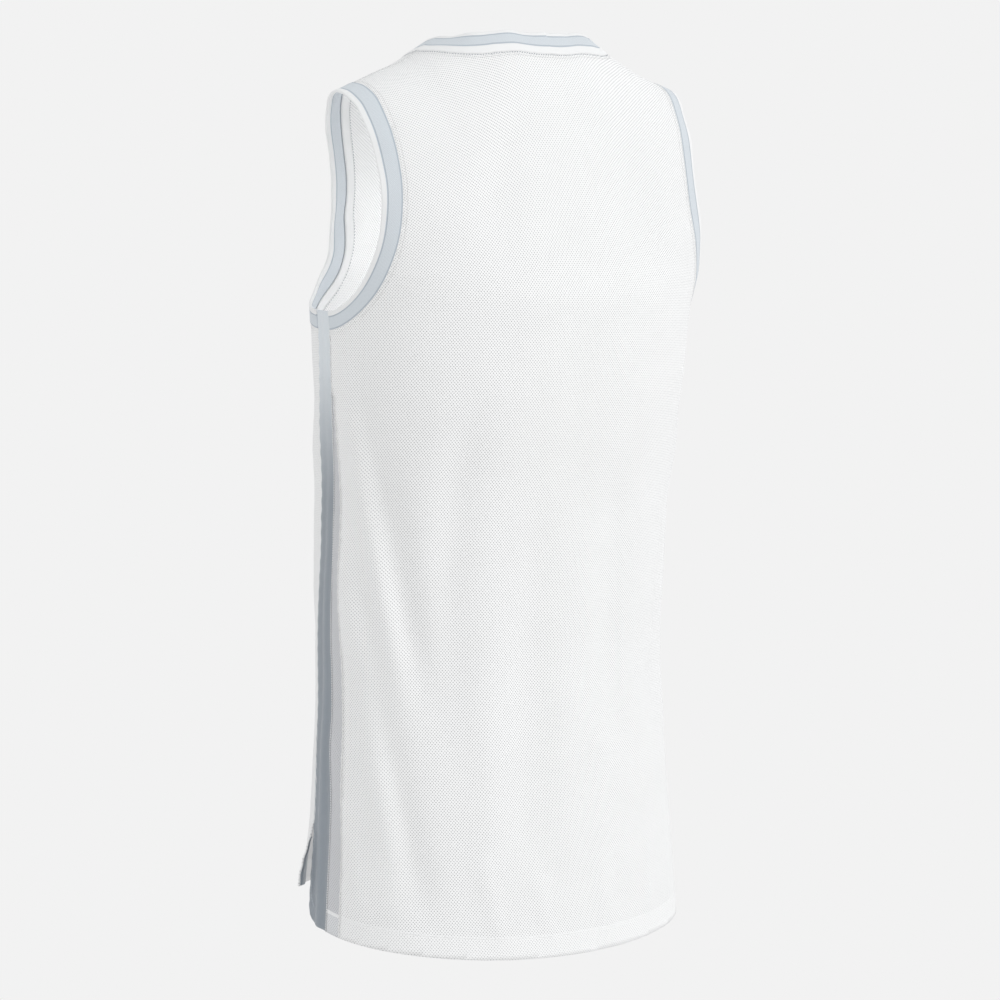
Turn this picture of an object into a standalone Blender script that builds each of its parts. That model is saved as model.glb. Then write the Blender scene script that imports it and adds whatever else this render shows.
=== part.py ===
"""Basketball jersey, worn and hollow: a sleeveless shirt in open mesh knit.

Metres, +Z up. The origin lies between the two points where the shoulders meet the neck, at
the height where the wearer's shoulders hold the jersey up. The front faces -Y, the back +Y,
and the wearer's left is +X.

The cloth is drawn the way it is cut. A point has a face (front or back), an "across" distance
from that face's centre line and a "tape" distance down from the shoulder line. form() lays it
on the worn shape, which a table of level rings gives. Every piece is an outline or a strip of
such points, thickened into a closed wall.
"""

import math

import bmesh
import bpy
import numpy as np
from mathutils import Vector
from mathutils.geometry import delaunay_2d_cdt

# ---------------------------------------------------------------- sizes

WALL = 0.0016                 # thickness of the knitted cloth
SEAM_GAP = 0.0003             # between two pieces that are sewn together
BAND_WIDTH = {"neck": 0.022, "armhole": 0.0170}    # ribbed bands

ARMHOLE_TOP = 0.173           # across: the armhole's edge on the shoulder line
ARMHOLE_MIDDLE = {"back": 0.1665, "front": 0.1330}  # across: the armhole's deepest cut
ARMHOLE_TURN = {"back": 0.145, "front": 0.220}     # tape: where that deepest cut is
UNDERARM = 0.280              # tape: the bottom of the armhole
NECK_HALF = 0.072             # across: the neck's edge on the shoulder line
NECK_DROP = {"back": 0.058, "front": 0.165}        # tape: the neck's edge at the centre

HEM = {"back": (0.841, 0.815), "front": (0.792, 0.7795)}  # tape: at the centre, at the side
CORNER = 0.012                # rounding of the back hem at the slit
SLIT_TOP = 0.735              # tape: the top of the side slit
SLIT_FLARE = 0.004            # how far the front's corner stands off the slit
GUSSET_TOP = 0.345            # tape: the point of the mesh wedge behind the stripe
SLIP = 0.016                  # how far the worn shoulders have slipped to the wearer's left

COLUMNS_APART = 0.0155        # grid of a panel, across
ROWS_APART = 0.030            # grid of a panel, down

# The worn shape, one level ring a row. Each ring is half a squared ellipse in front and half
# behind. Near the shoulders "lean" bends it down along RIDGE, and "sweep" takes its sides back.
SECTION_COLUMNS = ("tape", "height", "half_back", "half_front", "depth_back", "depth_front",
                   "centre_y", "sweep", "square_back", "square_front", "lean")
SECTIONS = (
    (0.000, 0.000, 0.218, 0.218, 0.0000, 0.0000, 0.000, 0.014, 2.10, 2.10, 1.00),
    (0.020, -0.003, 0.217, 0.220, 0.0195, 0.0195, 0.000, 0.014, 2.10, 2.10, 0.99),
    (0.045, -0.013, 0.212, 0.222, 0.0420, 0.0380, 0.000, 0.014, 2.20, 2.10, 0.95),
    (0.075, -0.033, 0.210, 0.222, 0.0605, 0.0530, 0.000, 0.012, 2.30, 2.10, 0.87),
    (0.110, -0.062, 0.206, 0.220, 0.0750, 0.0660, 0.000, 0.010, 2.50, 2.10, 0.74),
    (0.150, -0.098, 0.202, 0.214, 0.0850, 0.0790, -0.001, 0.007, 2.60, 2.10, 0.56),
    (0.200, -0.146, 0.197, 0.203, 0.0940, 0.0940, -0.003, 0.003, 2.60, 2.20, 0.32),
    (0.240, -0.185, 0.189, 0.193, 0.1010, 0.1040, -0.005, 0.001, 2.50, 2.20, 0.14),
    (0.280, -0.225, 0.182, 0.182, 0.1090, 0.1110, -0.008, 0.000, 2.30, 2.30, 0.03),
    (0.340, -0.285, 0.177, 0.177, 0.1090, 0.1100, -0.012, 0.000, 2.30, 2.30, 0.00),
    (0.450, -0.395, 0.169, 0.169, 0.1010, 0.1060, -0.020, 0.000, 2.20, 2.20, 0.00),
    (0.590, -0.535, 0.169, 0.169, 0.0990, 0.1040, -0.026, 0.000, 2.20, 2.20, 0.00),
    (0.740, -0.685, 0.177, 0.177, 0.1060, 0.1100, -0.025, 0.000, 2.20, 2.20, 0.00),
    (0.880, -0.825, 0.186, 0.186, 0.1170, 0.1200, -0.024, 0.000, 2.20, 2.20, 0.00),
)
# The shoulder line's height, out from the middle of the neck.
RIDGE_COLUMNS = ("out", "height")
RIDGE = ((0.000, 0.036), (0.030, 0.0335), (0.050, 0.0255), (0.061, 0.0185), (0.072, 0.0115),
         (0.085, 0.004), (0.100, -0.004), (0.117, -0.013), (0.134, -0.0195), (0.157, -0.0285),
         (0.180, -0.0385), (0.192, -0.044), (0.240, -0.068))

# The side seams, as distances from the side line, forward below zero and back above it.
SEAM_COLUMNS = ("tape", "stripe_front", "stripe_back", "gusset_back")
SIDE_SEAMS = (
    (0.250, -0.0215, 0.0007, 0.0010),
    (0.330, -0.0210, 0.0007, 0.0010),
    (0.345, -0.0215, 0.0005, 0.0022),
    (0.460, -0.0255, -0.0005, 0.0100),
    (0.600, -0.0275, 0.0015, 0.0155),
    (0.740, -0.024, 0.008, 0.0240),
    (0.860, -0.020, 0.010, 0.0270),
)

# The largest folds: soft ridges above zero and troughs below it. Each runs from its top to its
# bottom point and bows sideways in between.
FOLD_COLUMNS = ("face", "across_top", "tape_top", "across_end", "tape_end", "bow", "width",
                "rise")
FOLDS = (
    ("back", 0.214, 0.330, 0.140, 0.640, -0.006, 0.011, 0.0050),
    ("back", 0.190, 0.360, 0.118, 0.660, -0.006, 0.016, -0.0050),
    ("back", 0.212, 0.450, 0.150, 0.800, -0.006, 0.012, 0.0050),
    ("back", 0.196, 0.540, 0.128, 0.830, -0.004, 0.016, -0.0045),
    ("back", 0.096, 0.320, 0.100, 0.700, 0.006, 0.018, -0.0030),
    ("back", 0.028, 0.420, 0.040, 0.800, -0.005, 0.020, -0.0028),
    ("back", -0.060, 0.400, -0.072, 0.700, 0.006, 0.020, -0.0030),
    ("back", -0.204, 0.340, -0.146, 0.610, 0.006, 0.013, 0.0045),
    ("back", -0.186, 0.400, -0.120, 0.700, 0.005, 0.017, -0.0040),
    ("front", 0.206, 0.340, 0.140, 0.620, -0.008, 0.013, 0.0045),
    ("front", 0.178, 0.360, 0.116, 0.660, -0.006, 0.018, -0.0045),
    ("front", 0.060, 0.330, 0.052, 0.700, 0.006, 0.020, -0.0035),
    ("front", -0.040, 0.380, -0.056, 0.740, -0.006, 0.022, -0.0035),
    ("front", -0.204, 0.330, -0.130, 0.650, 0.008, 0.013, 0.0050),
    ("front", -0.180, 0.380, -0.112, 0.700, 0.006, 0.018, -0.0045),
)

# Colour, roughness and metallic value of each cloth.
CLOTHS = {
    "mesh_white": ((0.905, 0.905, 0.900, 1.0), 0.85, 0.0),
    "rib_band": ((0.650, 0.700, 0.745, 1.0), 0.80, 0.0),
    "stripe_grey": ((0.560, 0.610, 0.660, 1.0), 0.55, 0.0),
}


# ---------------------------------------------------------------- the worn shape

def column(table, columns, name):
    """Return one named column of a table as an array."""
    return np.array([row[columns.index(name)] for row in table], dtype=float)


def smooth(at, knots, values):
    """Read a column at any place, on a curve through its knots that never overshoots."""
    step = np.diff(knots)
    rise = np.diff(values) / step
    slope = np.concatenate([rise[:1], np.zeros(len(knots) - 2), rise[-1:]])
    for i in range(1, len(knots) - 1):
        if rise[i - 1] * rise[i] > 0:
            before = 2 * step[i] + step[i - 1]
            after = step[i] + 2 * step[i - 1]
            slope[i] = (before + after) / (before / rise[i - 1] + after / rise[i])
    at = np.clip(at, knots[0], knots[-1])
    i = np.clip(np.searchsorted(knots, at, side="right") - 1, 0, len(knots) - 2)
    s = (at - knots[i]) / step[i]
    return ((1 + 2 * s) * (1 - s) ** 2 * values[i] + s * (1 - s) ** 2 * step[i] * slope[i]
            + s * s * (3 - 2 * s) * values[i + 1] + s * s * (s - 1) * step[i] * slope[i + 1])


def ease(t):
    """Rise smoothly from 0 to 1."""
    t = np.clip(t, 0.0, 1.0)
    return t * t * (3 - 2 * t)


def section(name, tape):
    """Return one size of the worn shape at each tape distance."""
    knots = column(SECTIONS, SECTION_COLUMNS, "tape")
    return smooth(tape, knots, column(SECTIONS, SECTION_COLUMNS, name))


def seam(name, tape):
    """Return where a side seam runs at each tape distance."""
    return smooth(tape, column(SIDE_SEAMS, SEAM_COLUMNS, "tape"),
                  column(SIDE_SEAMS, SEAM_COLUMNS, name))


def quarter_ring(face, tape):
    """Walk each level's ring from the centre line to the side: x, y and distance walked."""
    turn = np.linspace(0.0, math.pi / 2, 121)
    power = (2.0 / section("square_" + face, tape))[:, None]
    x = section("half_" + face, tape)[:, None] * np.sin(turn) ** power
    y = section("depth_" + face, tape)[:, None] * np.cos(turn) ** power
    walked = np.concatenate([np.zeros((len(tape), 1)),
                             np.cumsum(np.hypot(np.diff(x), np.diff(y)), axis=1)], axis=1)
    return x, y, walked


def side_line(face, tape):
    """Return how far across the side line is from a face's centre line."""
    tape = np.atleast_1d(np.asarray(tape, dtype=float))
    return quarter_ring(face, tape)[2][:, -1]


def fold_rise(face, across, tape, flare):
    """Add up the folds at each point, and where asked the front's flare at the slit."""
    rise = np.zeros_like(across)
    for name, across_top, tape_top, across_end, tape_end, bow, width, height in FOLDS:
        if name != face:
            continue
        along = (tape - tape_top) / (tape_end - tape_top)
        middle = across_top + (across_end - across_top) * along
        middle = middle + bow * 4 * along * (1 - along)
        fade = ease(along / 0.25) * ease((1 - along) / 0.35)
        rise += height * fade * np.exp(-((across - middle) / width) ** 2)
    if flare:
        edge = side_line("front", tape) + seam("stripe_front", tape)
        down = ease((tape - SLIT_TOP + 0.02) / (HEM["front"][1] - SLIT_TOP + 0.02))
        rise += SLIT_FLARE * down * ease(1 - (edge - np.abs(across)) / 0.06)
    return rise


def face_point(face, across, tape, flare=False):
    """Lay points of one face on the worn shape."""
    x, y, walked = quarter_ring(face, tape)
    reach = np.clip(np.abs(across), 0.0, walked[:, -1] * (1 - 1e-9))
    i = (walked <= reach[:, None]).sum(axis=1) - 1
    row = np.arange(len(i))
    part = (reach - walked[row, i]) / (walked[row, i + 1] - walked[row, i])
    px = x[row, i] + part * (x[row, i + 1] - x[row, i])
    py = y[row, i] + part * (y[row, i + 1] - y[row, i])

    # straight out from the ring, level
    square = section("square_" + face, tape)
    half = section("half_" + face, tape)
    depth = np.maximum(section("depth_" + face, tape), 1e-4)
    out_x = (px / half) ** (square - 1) / half
    out_y = (py / depth) ** (square - 1) / depth
    length = np.hypot(out_x, out_y)
    rise = fold_rise(face, across, tape, flare)
    px = px + rise * out_x / length
    py = py + rise * out_y / length

    forward = 1.0 if face == "back" else -1.0
    ridge = smooth(px, column(RIDGE, RIDGE_COLUMNS, "out"), column(RIDGE, RIDGE_COLUMNS, "height"))
    return np.stack([np.sign(across) * px,
                     section("centre_y", tape) + forward * py
                     + section("sweep", tape) * (px / ARMHOLE_TOP) ** 2,
                     section("height", tape) + section("lean", tape) * ridge], axis=1)


def slip(across, tape):
    """Return how far the cloth has slipped across the body, most out on the shoulders."""
    down = 1 - ease((np.abs(tape) - 0.10) / 0.18)
    return SLIP * down * np.clip(np.abs(across) / 0.17, 0.0, 1.0) ** 1.8


def form(face, across, tape, flare=False):
    """Lay points on the worn shape. Past the side line they carry on round the other face."""
    across, tape = np.broadcast_arrays(np.asarray(across, dtype=float),
                                       np.asarray(tape, dtype=float))
    flat_tape = tape.ravel().copy()
    flat_across = across.ravel() + slip(across.ravel(), flat_tape)
    other = "front" if face == "back" else "back"

    # above the shoulder line lies the other face too
    over = flat_tape < 0.0
    flat_tape = np.abs(flat_tape)
    reach = side_line(face, flat_tape)
    past = (np.abs(flat_across) > reach) & ~over
    wrapped = np.sign(flat_across) * (side_line(other, flat_tape) + reach - np.abs(flat_across))
    points = face_point(face, flat_across, flat_tape, flare)
    turned = over | past
    if turned.any():
        there = np.where(past, wrapped, flat_across)
        points[turned] = face_point(other, there[turned], flat_tape[turned])
    return points.reshape(across.shape + (3,))


def wall_sides(face, across, tape, flare=False):
    """Return the outer and inner skin of the cloth at points on the worn shape."""
    step = 0.001
    middle = form(face, across, tape, flare)
    along = form(face, across + step, tape, flare) - form(face, across - step, tape, flare)
    down = form(face, across, tape + step, flare) - form(face, across, tape - step, flare)
    out = np.cross(down, along)
    if face == "front":
        out = -out
    out /= np.linalg.norm(out, axis=-1, keepdims=True)
    return middle + out * (WALL / 2), middle - out * (WALL / 2)


# ---------------------------------------------------------------- edges of the cut

def armhole(face, inset, stations):
    """Return the armhole of the left side, shoulder to side seam, moved into the cloth.

    The edge runs down to its deepest cut on a half wave and out to the side on a quarter of an
    ellipse. It is moved in square to itself and ends where the side stripe starts.
    """
    middle = ARMHOLE_MIDDLE[face]
    turning = ARMHOLE_TURN[face]
    side = side_line(face, UNDERARM)[0]
    upper = np.linspace(0.0, turning, 60)
    turn = np.linspace(0.0, math.pi / 2, 90)[1:]
    across = np.concatenate([
        middle + (ARMHOLE_TOP - middle) * 0.5 * (1 + np.cos(math.pi * upper / turning)),
        side - (side - middle) * np.cos(turn)])
    tape = np.concatenate([upper, turning + (UNDERARM - turning) * np.sin(turn)])
    run = np.gradient(across)
    fall = np.gradient(tape)
    fall[0], run[0] = 1.0, 0.0
    length = np.hypot(run, fall)
    across, tape = across - inset * fall / length, tape + inset * run / length

    clear = side_line(face, tape) - stripe_margin(face, tape) - across
    last = int((clear > 0).sum())
    part = clear[last - 1] / (clear[last - 1] - clear[last])
    end_tape = tape[last - 1] + part * (tape[last] - tape[last - 1])
    end_across = side_line(face, end_tape)[0] - stripe_margin(face, end_tape)
    return resample(np.append(across[:last], end_across), np.append(tape[:last], end_tape),
                    stations)


def stripe_margin(face, tape):
    """Return how far from the side line a face's band and panel end."""
    edge = seam("stripe_back", tape) if face == "back" else -seam("stripe_front", tape)
    return edge + SEAM_GAP


def neck(face, outset, stations):
    """Return the neck of the left side, centre to shoulder, moved out into the cloth."""
    turn = np.linspace(0.0, math.pi / 2, 90)
    across = NECK_HALF * np.sin(turn)
    tape = NECK_DROP[face] * np.cos(turn)
    out_across = NECK_DROP[face] * np.sin(turn)
    out_tape = NECK_HALF * np.cos(turn)
    length = np.hypot(out_across, out_tape)
    return resample(across + outset * out_across / length, tape + outset * out_tape / length,
                    stations)


def resample(across, tape, stations):
    """Space a run of points evenly."""
    walked = np.concatenate([[0.0], np.cumsum(np.hypot(np.diff(across), np.diff(tape)))])
    at = np.linspace(0.0, walked[-1], stations)
    return np.interp(at, walked, across), np.interp(at, walked, tape)


def hem(face, across):
    """Return the hem's tape distance, a little longer at the centre than at the side."""
    centre, side = HEM[face]
    return centre - (centre - side) * (np.abs(across) / side_line(face, side)[0]) ** 2


def stations_for(face):
    """Return how many stations the armhole and the neck of a face take."""
    return {"back": (26, 10), "front": (26, 18)}[face]


# ---------------------------------------------------------------- building solids

def new_object(name, cloth, bm):
    """Turn a closed bmesh into a named object with its own material."""
    bmesh.ops.recalc_face_normals(bm, faces=bm.faces)
    mesh = bpy.data.meshes.new(name)
    bm.to_mesh(mesh)
    bm.free()
    colour, roughness, metallic = CLOTHS[cloth]
    material = bpy.data.materials.new(cloth + "_" + name)
    material.use_nodes = True
    shader = material.node_tree.nodes["Principled BSDF"]
    shader.inputs["Base Color"].default_value = colour
    shader.inputs["Roughness"].default_value = roughness
    shader.inputs["Metallic"].default_value = metallic
    mesh.materials.append(material)
    piece = bpy.data.objects.new(name, mesh)
    bpy.context.collection.objects.link(piece)
    return piece


def wall_from_faces(name, cloth, outer, inner, faces):
    """Close a wall: the outer skin, the inner skin, and a rim along every open edge."""
    bm = bmesh.new()
    skin = [bm.verts.new(p) for p in outer]
    lining = [bm.verts.new(p) for p in inner]
    for face in faces:
        bm.faces.new([skin[i] for i in face])
        bm.faces.new([lining[i] for i in reversed(face)])
    seen = {(face[k], face[(k + 1) % len(face)]) for face in faces for k in range(len(face))}
    for a, b in seen:
        if (b, a) not in seen:
            bm.faces.new([skin[b], skin[a], lining[a], lining[b]])
    return new_object(name, cloth, bm)


def panel(face):
    """Cut the front or the back in one piece, and fill its outline with a grid."""
    arm_stations, neck_stations = stations_for(face)
    neck_across, neck_tape = neck(face, BAND_WIDTH["neck"] + SEAM_GAP, neck_stations)
    arm_across, arm_tape = armhole(face, BAND_WIDTH["armhole"] + SEAM_GAP, arm_stations)
    neck_tape[-1] = SEAM_GAP / 2
    arm_tape[0] = SEAM_GAP / 2
    shoulder = np.linspace(neck_across[-1], arm_across[0], 6)[1:-1]

    low = HEM[face][1]
    inner = seam("gusset_back", low) if face == "back" else stripe_margin(face, low)
    tape = np.linspace(arm_tape[-1], hem(face, side_line(face, low)[0] - inner), 21)[1:]
    if face == "back":
        margin = np.where(tape < GUSSET_TOP - 0.015, seam("stripe_back", tape),
                          seam("gusset_back", tape)) + SEAM_GAP
    else:
        margin = stripe_margin(face, tape)
    side_across = side_line(face, tape) - margin

    hem_across = np.linspace(side_across[-1], 0.0, 16)[1:]
    half_across = np.concatenate([neck_across, shoulder, arm_across, side_across, hem_across])
    half_tape = np.concatenate([neck_tape, np.full(len(shoulder), SEAM_GAP / 2), arm_tape, tape,
                                hem(face, hem_across)])
    outline_across = np.concatenate([half_across, -half_across[-2:0:-1]])
    outline_tape = np.concatenate([half_tape, half_tape[-2:0:-1]])
    edge = np.stack([outline_across, outline_tape], axis=1)

    # grid points, kept clear of the outline
    columns = np.arange(-0.26, 0.26, COLUMNS_APART)
    rows = np.arange(0.008, HEM[face][0], ROWS_APART)
    grid = []
    for number, level in enumerate(rows):
        for place in columns + (number % 2) * COLUMNS_APART / 2:
            grid.append((place, level))
    grid = np.array(grid)
    dense = np.concatenate([edge + (np.roll(edge, -1, axis=0) - edge) * f
                            for f in (0.0, 0.25, 0.5, 0.75)])
    apart = (grid[:, None, :] - dense[None, :, :]) / (COLUMNS_APART, ROWS_APART * 0.8)
    grid = grid[np.linalg.norm(apart, axis=2).min(axis=1) > 0.5]

    points = [Vector(p) for p in edge] + [Vector(p) for p in grid]
    verts, _, faces, _, _, _ = delaunay_2d_cdt(points, [], [list(range(len(edge)))], 1, 1e-6)
    used = sorted({i for triangle in faces for i in triangle})
    faces = [[used.index(i) for i in triangle] for triangle in faces]
    flat = np.array([tuple(verts[i]) for i in used])
    outer, inner = wall_sides(face, flat[:, 0], flat[:, 1], flare=face == "front")
    return wall_from_faces(face + "_panel", "mesh_white", outer, inner, faces)


def strip(name, cloth, outer, inner, ring=False):
    """Close a wall from a grid of points, rows along the strip and columns across it."""
    rows, columns = outer.shape[:2]
    faces = []
    for r in range(rows if ring else rows - 1):
        for c in range(columns - 1):
            here, there = r * columns + c, ((r + 1) % rows) * columns + c
            faces.append((here, here + 1, there + 1, there))
    return wall_from_faces(name, cloth, outer.reshape(-1, 3), inner.reshape(-1, 3), faces)


def band_half(edge, face, stations, side):
    """Return the skins of one face's half of a band, in stations along it."""
    skins = []
    for inset in np.linspace(0.0, BAND_WIDTH[edge.__name__], 3):
        across, tape = edge(face, inset, stations)
        skins.append(wall_sides(face, side * across, tape))
    outer = np.stack([skin[0] for skin in skins], axis=1)
    inner = np.stack([skin[1] for skin in skins], axis=1)
    return outer, inner


def armhole_band(word, side):
    """Make the ribbed band of one armhole: up the front, over the shoulder, down the back."""
    front_outer, front_inner = band_half(armhole, "front", stations_for("front")[0], side)
    back_outer, back_inner = band_half(armhole, "back", stations_for("back")[0], side)
    outer = np.concatenate([front_outer[:0:-1], back_outer])
    inner = np.concatenate([front_inner[:0:-1], back_inner])
    return strip(word + "_armhole_band", "rib_band", outer, inner)


def neck_band():
    """Make the ribbed band round the neck, one closed ring."""
    skins = []
    for face, side in (("back", 1), ("front", 1), ("front", -1), ("back", -1)):
        outer, inner = band_half(neck, face, stations_for(face)[1], side)
        towards_shoulder = (face == "back") == (side > 0)
        if not towards_shoulder:
            outer, inner = outer[::-1], inner[::-1]
        skins.append((outer[:-1], inner[:-1]))
    outer = np.concatenate([skin[0] for skin in skins])
    inner = np.concatenate([skin[1] for skin in skins])
    return strip("neck_band", "rib_band", outer, inner, ring=True)


def side_strip(name, cloth, side, places, tops, ends, rows):
    """Make a strip down the side, from distances behind the side line at each level."""
    down = np.linspace(0.0, 1.0, rows)[:, None]
    tape = tops + (ends - tops) * down
    across = side_line("back", tape.ravel()).reshape(tape.shape) - places(tape)
    outer, inner = wall_sides("back", side * across, tape)
    return strip(name, cloth, outer, inner)


def side_stripe(word, side):
    """Make the satin stripe at the side, from the armhole's edge down past the slit."""
    share = np.linspace(0.0, 1.0, 5)

    def places(tape):
        return (seam("stripe_front", tape)
                + share * (seam("stripe_back", tape) - seam("stripe_front", tape)))

    behind = places(np.full((1, 5), UNDERARM))[0]
    tops = np.empty(5)
    for i, place in enumerate(behind):
        face = "back" if place >= 0 else "front"
        reach = side_line(face, UNDERARM)[0] - ARMHOLE_MIDDLE[face]
        tops[i] = (ARMHOLE_TURN[face] + (UNDERARM - ARMHOLE_TURN[face])
                   * math.sqrt(1 - (place / reach) ** 2))
    behind = places(np.full((1, 5), HEM["back"][1]))[0]
    left = np.clip(CORNER - (behind - behind[0]), 0.0, CORNER)
    ends = (hem("back", side_line("back", HEM["back"][1])[0] - behind)
            - (CORNER - np.sqrt(CORNER ** 2 - left ** 2)))
    return side_strip(word + "_side_stripe", "stripe_grey", side, places, tops, ends, 30)


def side_gusset(word, side):
    """Make the narrow mesh wedge between the stripe and the back."""
    share = np.linspace(0.0, 1.0, 3)

    def places(tape):
        start = seam("stripe_back", tape) + SEAM_GAP
        return start + share * (seam("gusset_back", tape) - start)

    behind = places(np.full((1, 3), HEM["back"][1]))[0]
    ends = hem("back", side_line("back", HEM["back"][1])[0] - behind)
    return side_strip(word + "_side_gusset", "mesh_white", side, places,
                      np.full(3, GUSSET_TOP), ends, 24)


# ---------------------------------------------------------------- the jersey

def main():
    for old in list(bpy.data.objects):
        bpy.data.objects.remove(old, do_unlink=True)
    panel("back")
    panel("front")
    neck_band()
    for word, side in (("left", 1), ("right", -1)):
        armhole_band(word, side)
        side_stripe(word, side)
        side_gusset(word, side)


main()
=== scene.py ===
# %% [markdown]
# # A worn basketball jersey
#
# This lesson builds a sleeveless basketball jersey as it looks when it is worn: two panels of
# white mesh knit, ribbed bands with a grey stripe round the neck and the armholes, and a grey
# satin stripe with a narrow mesh wedge down each side. The jersey is hollow and nobody wears it.
#
# The cloth is drawn the way a cutter draws it. Every point has a face (front or back), an
# "across" distance from that face's centre line, and a "tape" distance down from the shoulder.
# One function lays such a point on the worn shape, so panels, bands, seams and stitches that
# share a line in the cut also share it on the body.

import math

import bmesh
import bpy
import numpy as np
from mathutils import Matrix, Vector, noise


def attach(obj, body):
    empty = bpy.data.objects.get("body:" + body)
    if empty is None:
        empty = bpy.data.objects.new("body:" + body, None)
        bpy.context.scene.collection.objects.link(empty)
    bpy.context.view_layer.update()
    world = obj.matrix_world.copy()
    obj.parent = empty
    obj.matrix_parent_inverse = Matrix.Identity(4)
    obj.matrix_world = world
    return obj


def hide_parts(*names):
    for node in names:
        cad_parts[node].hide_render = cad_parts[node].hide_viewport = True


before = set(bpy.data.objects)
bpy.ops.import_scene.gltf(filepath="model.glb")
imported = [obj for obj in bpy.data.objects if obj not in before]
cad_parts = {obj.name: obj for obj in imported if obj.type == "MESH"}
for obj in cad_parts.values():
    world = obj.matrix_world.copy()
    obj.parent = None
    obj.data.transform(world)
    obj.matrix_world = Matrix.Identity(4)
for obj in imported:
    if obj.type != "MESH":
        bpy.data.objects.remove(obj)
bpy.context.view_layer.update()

# %% [markdown]
# ## Sizes
#
# A jersey is cut from few numbers: how deep the armholes and the neck are, how wide the bands,
# where the hem ends. All are in metres. The panels' cloth is 1.3 mm thick. The bands are folded
# double, so they are thicker and stand a little proud of the panels, as they do on the real one.

# %% Sizes of the cut
CLOTH = 0.0013                # one layer of mesh knit
BAND_WIDTH = {"neck": 0.022, "armhole": 0.017}     # ribbed bands
BAND_CLOTH = 0.0022           # the band is double
BAND_LIFT = 0.0004            # how far it stands off the panels
UNDERLAP = 0.002              # how far a panel runs under a band or a stripe

ARMHOLE_TOP = 0.173           # across: the armhole's edge on the shoulder line
ARMHOLE_MIDDLE = {"back": 0.1665, "front": 0.133}  # across: the armhole's deepest cut
ARMHOLE_TURN = {"back": 0.145, "front": 0.220}     # tape: where that deepest cut is
UNDERARM = 0.280              # tape: the bottom of the armhole
NECK_HALF = 0.072             # across: the neck's edge on the shoulder line
NECK_DROP = {"back": 0.058, "front": 0.165}        # tape: the neck's edge at the centre

HEM = {"back": (0.841, 0.815), "front": (0.792, 0.7795)}  # tape: at the centre, at the side
HEM_DEPTH = 0.018             # the turned-up hem
CORNER = 0.012                # rounding of the back hem at the slit
SLIT_TOP = 0.735              # tape: the top of the side slit
SLIT_FLARE = 0.004            # how far the front's corner stands off the slit
FLARE_REACH = 0.060           # how far in from the edge that begins
SLIT_CURL = 0.0075            # how far its very edge curls out, which shows the facing
CURL_REACH = 0.016            # how far in from the edge it curls
GUSSET_TOP = 0.345            # tape: the point of the mesh wedge behind the stripe
SLIP = 0.016                  # how far the worn shoulders have slipped to the wearer's left
print("back length", HEM["back"][0], "m, front length", HEM["front"][0], "m")

# %% [markdown]
# ## The worn shape
#
# A chest is neither a box nor a cylinder, so the shape comes from level rings. Each ring is half
# a squared ellipse in front and half behind, and the table gives its width, its depths and how
# square it is. Near the shoulders the rings bend down along the shoulder line, which is what
# "lean" does, and "sweep" takes their sides back. A curve that never overshoots runs between the
# rows, so the side of the body has no bumps that the table doesn't ask for.

# %% Tables of the worn shape
SECTION_COLUMNS = ("tape", "height", "half_back", "half_front", "depth_back", "depth_front",
                   "centre_y", "sweep", "square_back", "square_front", "lean")
SECTIONS = (
    (0.000, 0.000, 0.218, 0.218, 0.0000, 0.0000, 0.000, 0.014, 2.10, 2.10, 1.00),
    (0.020, -0.003, 0.217, 0.220, 0.0195, 0.0195, 0.000, 0.014, 2.10, 2.10, 0.99),
    (0.045, -0.013, 0.212, 0.222, 0.0420, 0.0380, 0.000, 0.014, 2.20, 2.10, 0.95),
    (0.075, -0.033, 0.210, 0.222, 0.0605, 0.0530, 0.000, 0.012, 2.30, 2.10, 0.87),
    (0.110, -0.062, 0.206, 0.220, 0.0750, 0.0660, 0.000, 0.010, 2.50, 2.10, 0.74),
    (0.150, -0.098, 0.202, 0.214, 0.0850, 0.0790, -0.001, 0.007, 2.60, 2.10, 0.56),
    (0.200, -0.146, 0.197, 0.203, 0.0940, 0.0940, -0.003, 0.003, 2.60, 2.20, 0.32),
    (0.240, -0.185, 0.189, 0.193, 0.1010, 0.1040, -0.005, 0.001, 2.50, 2.20, 0.14),
    (0.280, -0.225, 0.182, 0.182, 0.1090, 0.1110, -0.008, 0.000, 2.30, 2.30, 0.03),
    (0.340, -0.285, 0.177, 0.177, 0.1090, 0.1100, -0.012, 0.000, 2.30, 2.30, 0.00),
    (0.450, -0.395, 0.169, 0.169, 0.1010, 0.1060, -0.020, 0.000, 2.20, 2.20, 0.00),
    (0.590, -0.535, 0.169, 0.169, 0.0990, 0.1040, -0.026, 0.000, 2.20, 2.20, 0.00),
    (0.740, -0.685, 0.177, 0.177, 0.1060, 0.1100, -0.025, 0.000, 2.20, 2.20, 0.00),
    (0.880, -0.825, 0.186, 0.186, 0.1170, 0.1200, -0.024, 0.000, 2.20, 2.20, 0.00),
)
RIDGE_COLUMNS = ("out", "height")
RIDGE = ((0.000, 0.036), (0.030, 0.0335), (0.050, 0.0255), (0.061, 0.0185), (0.072, 0.0115),
         (0.085, 0.004), (0.100, -0.004), (0.117, -0.013), (0.134, -0.0195), (0.157, -0.0285),
         (0.180, -0.0385), (0.192, -0.044), (0.240, -0.068))
SEAM_COLUMNS = ("tape", "stripe_front", "stripe_back", "gusset_back")
SIDE_SEAMS = (
    (0.250, -0.0215, 0.0007, 0.0010),
    (0.330, -0.0210, 0.0007, 0.0010),
    (0.345, -0.0215, 0.0005, 0.0022),
    (0.460, -0.0255, -0.0005, 0.0100),
    (0.600, -0.0275, 0.0015, 0.0155),
    (0.740, -0.024, 0.008, 0.0240),
    (0.860, -0.020, 0.010, 0.0270),
)
print(len(SECTIONS), "rings,", len(SIDE_SEAMS), "levels of the side seams")


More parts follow.
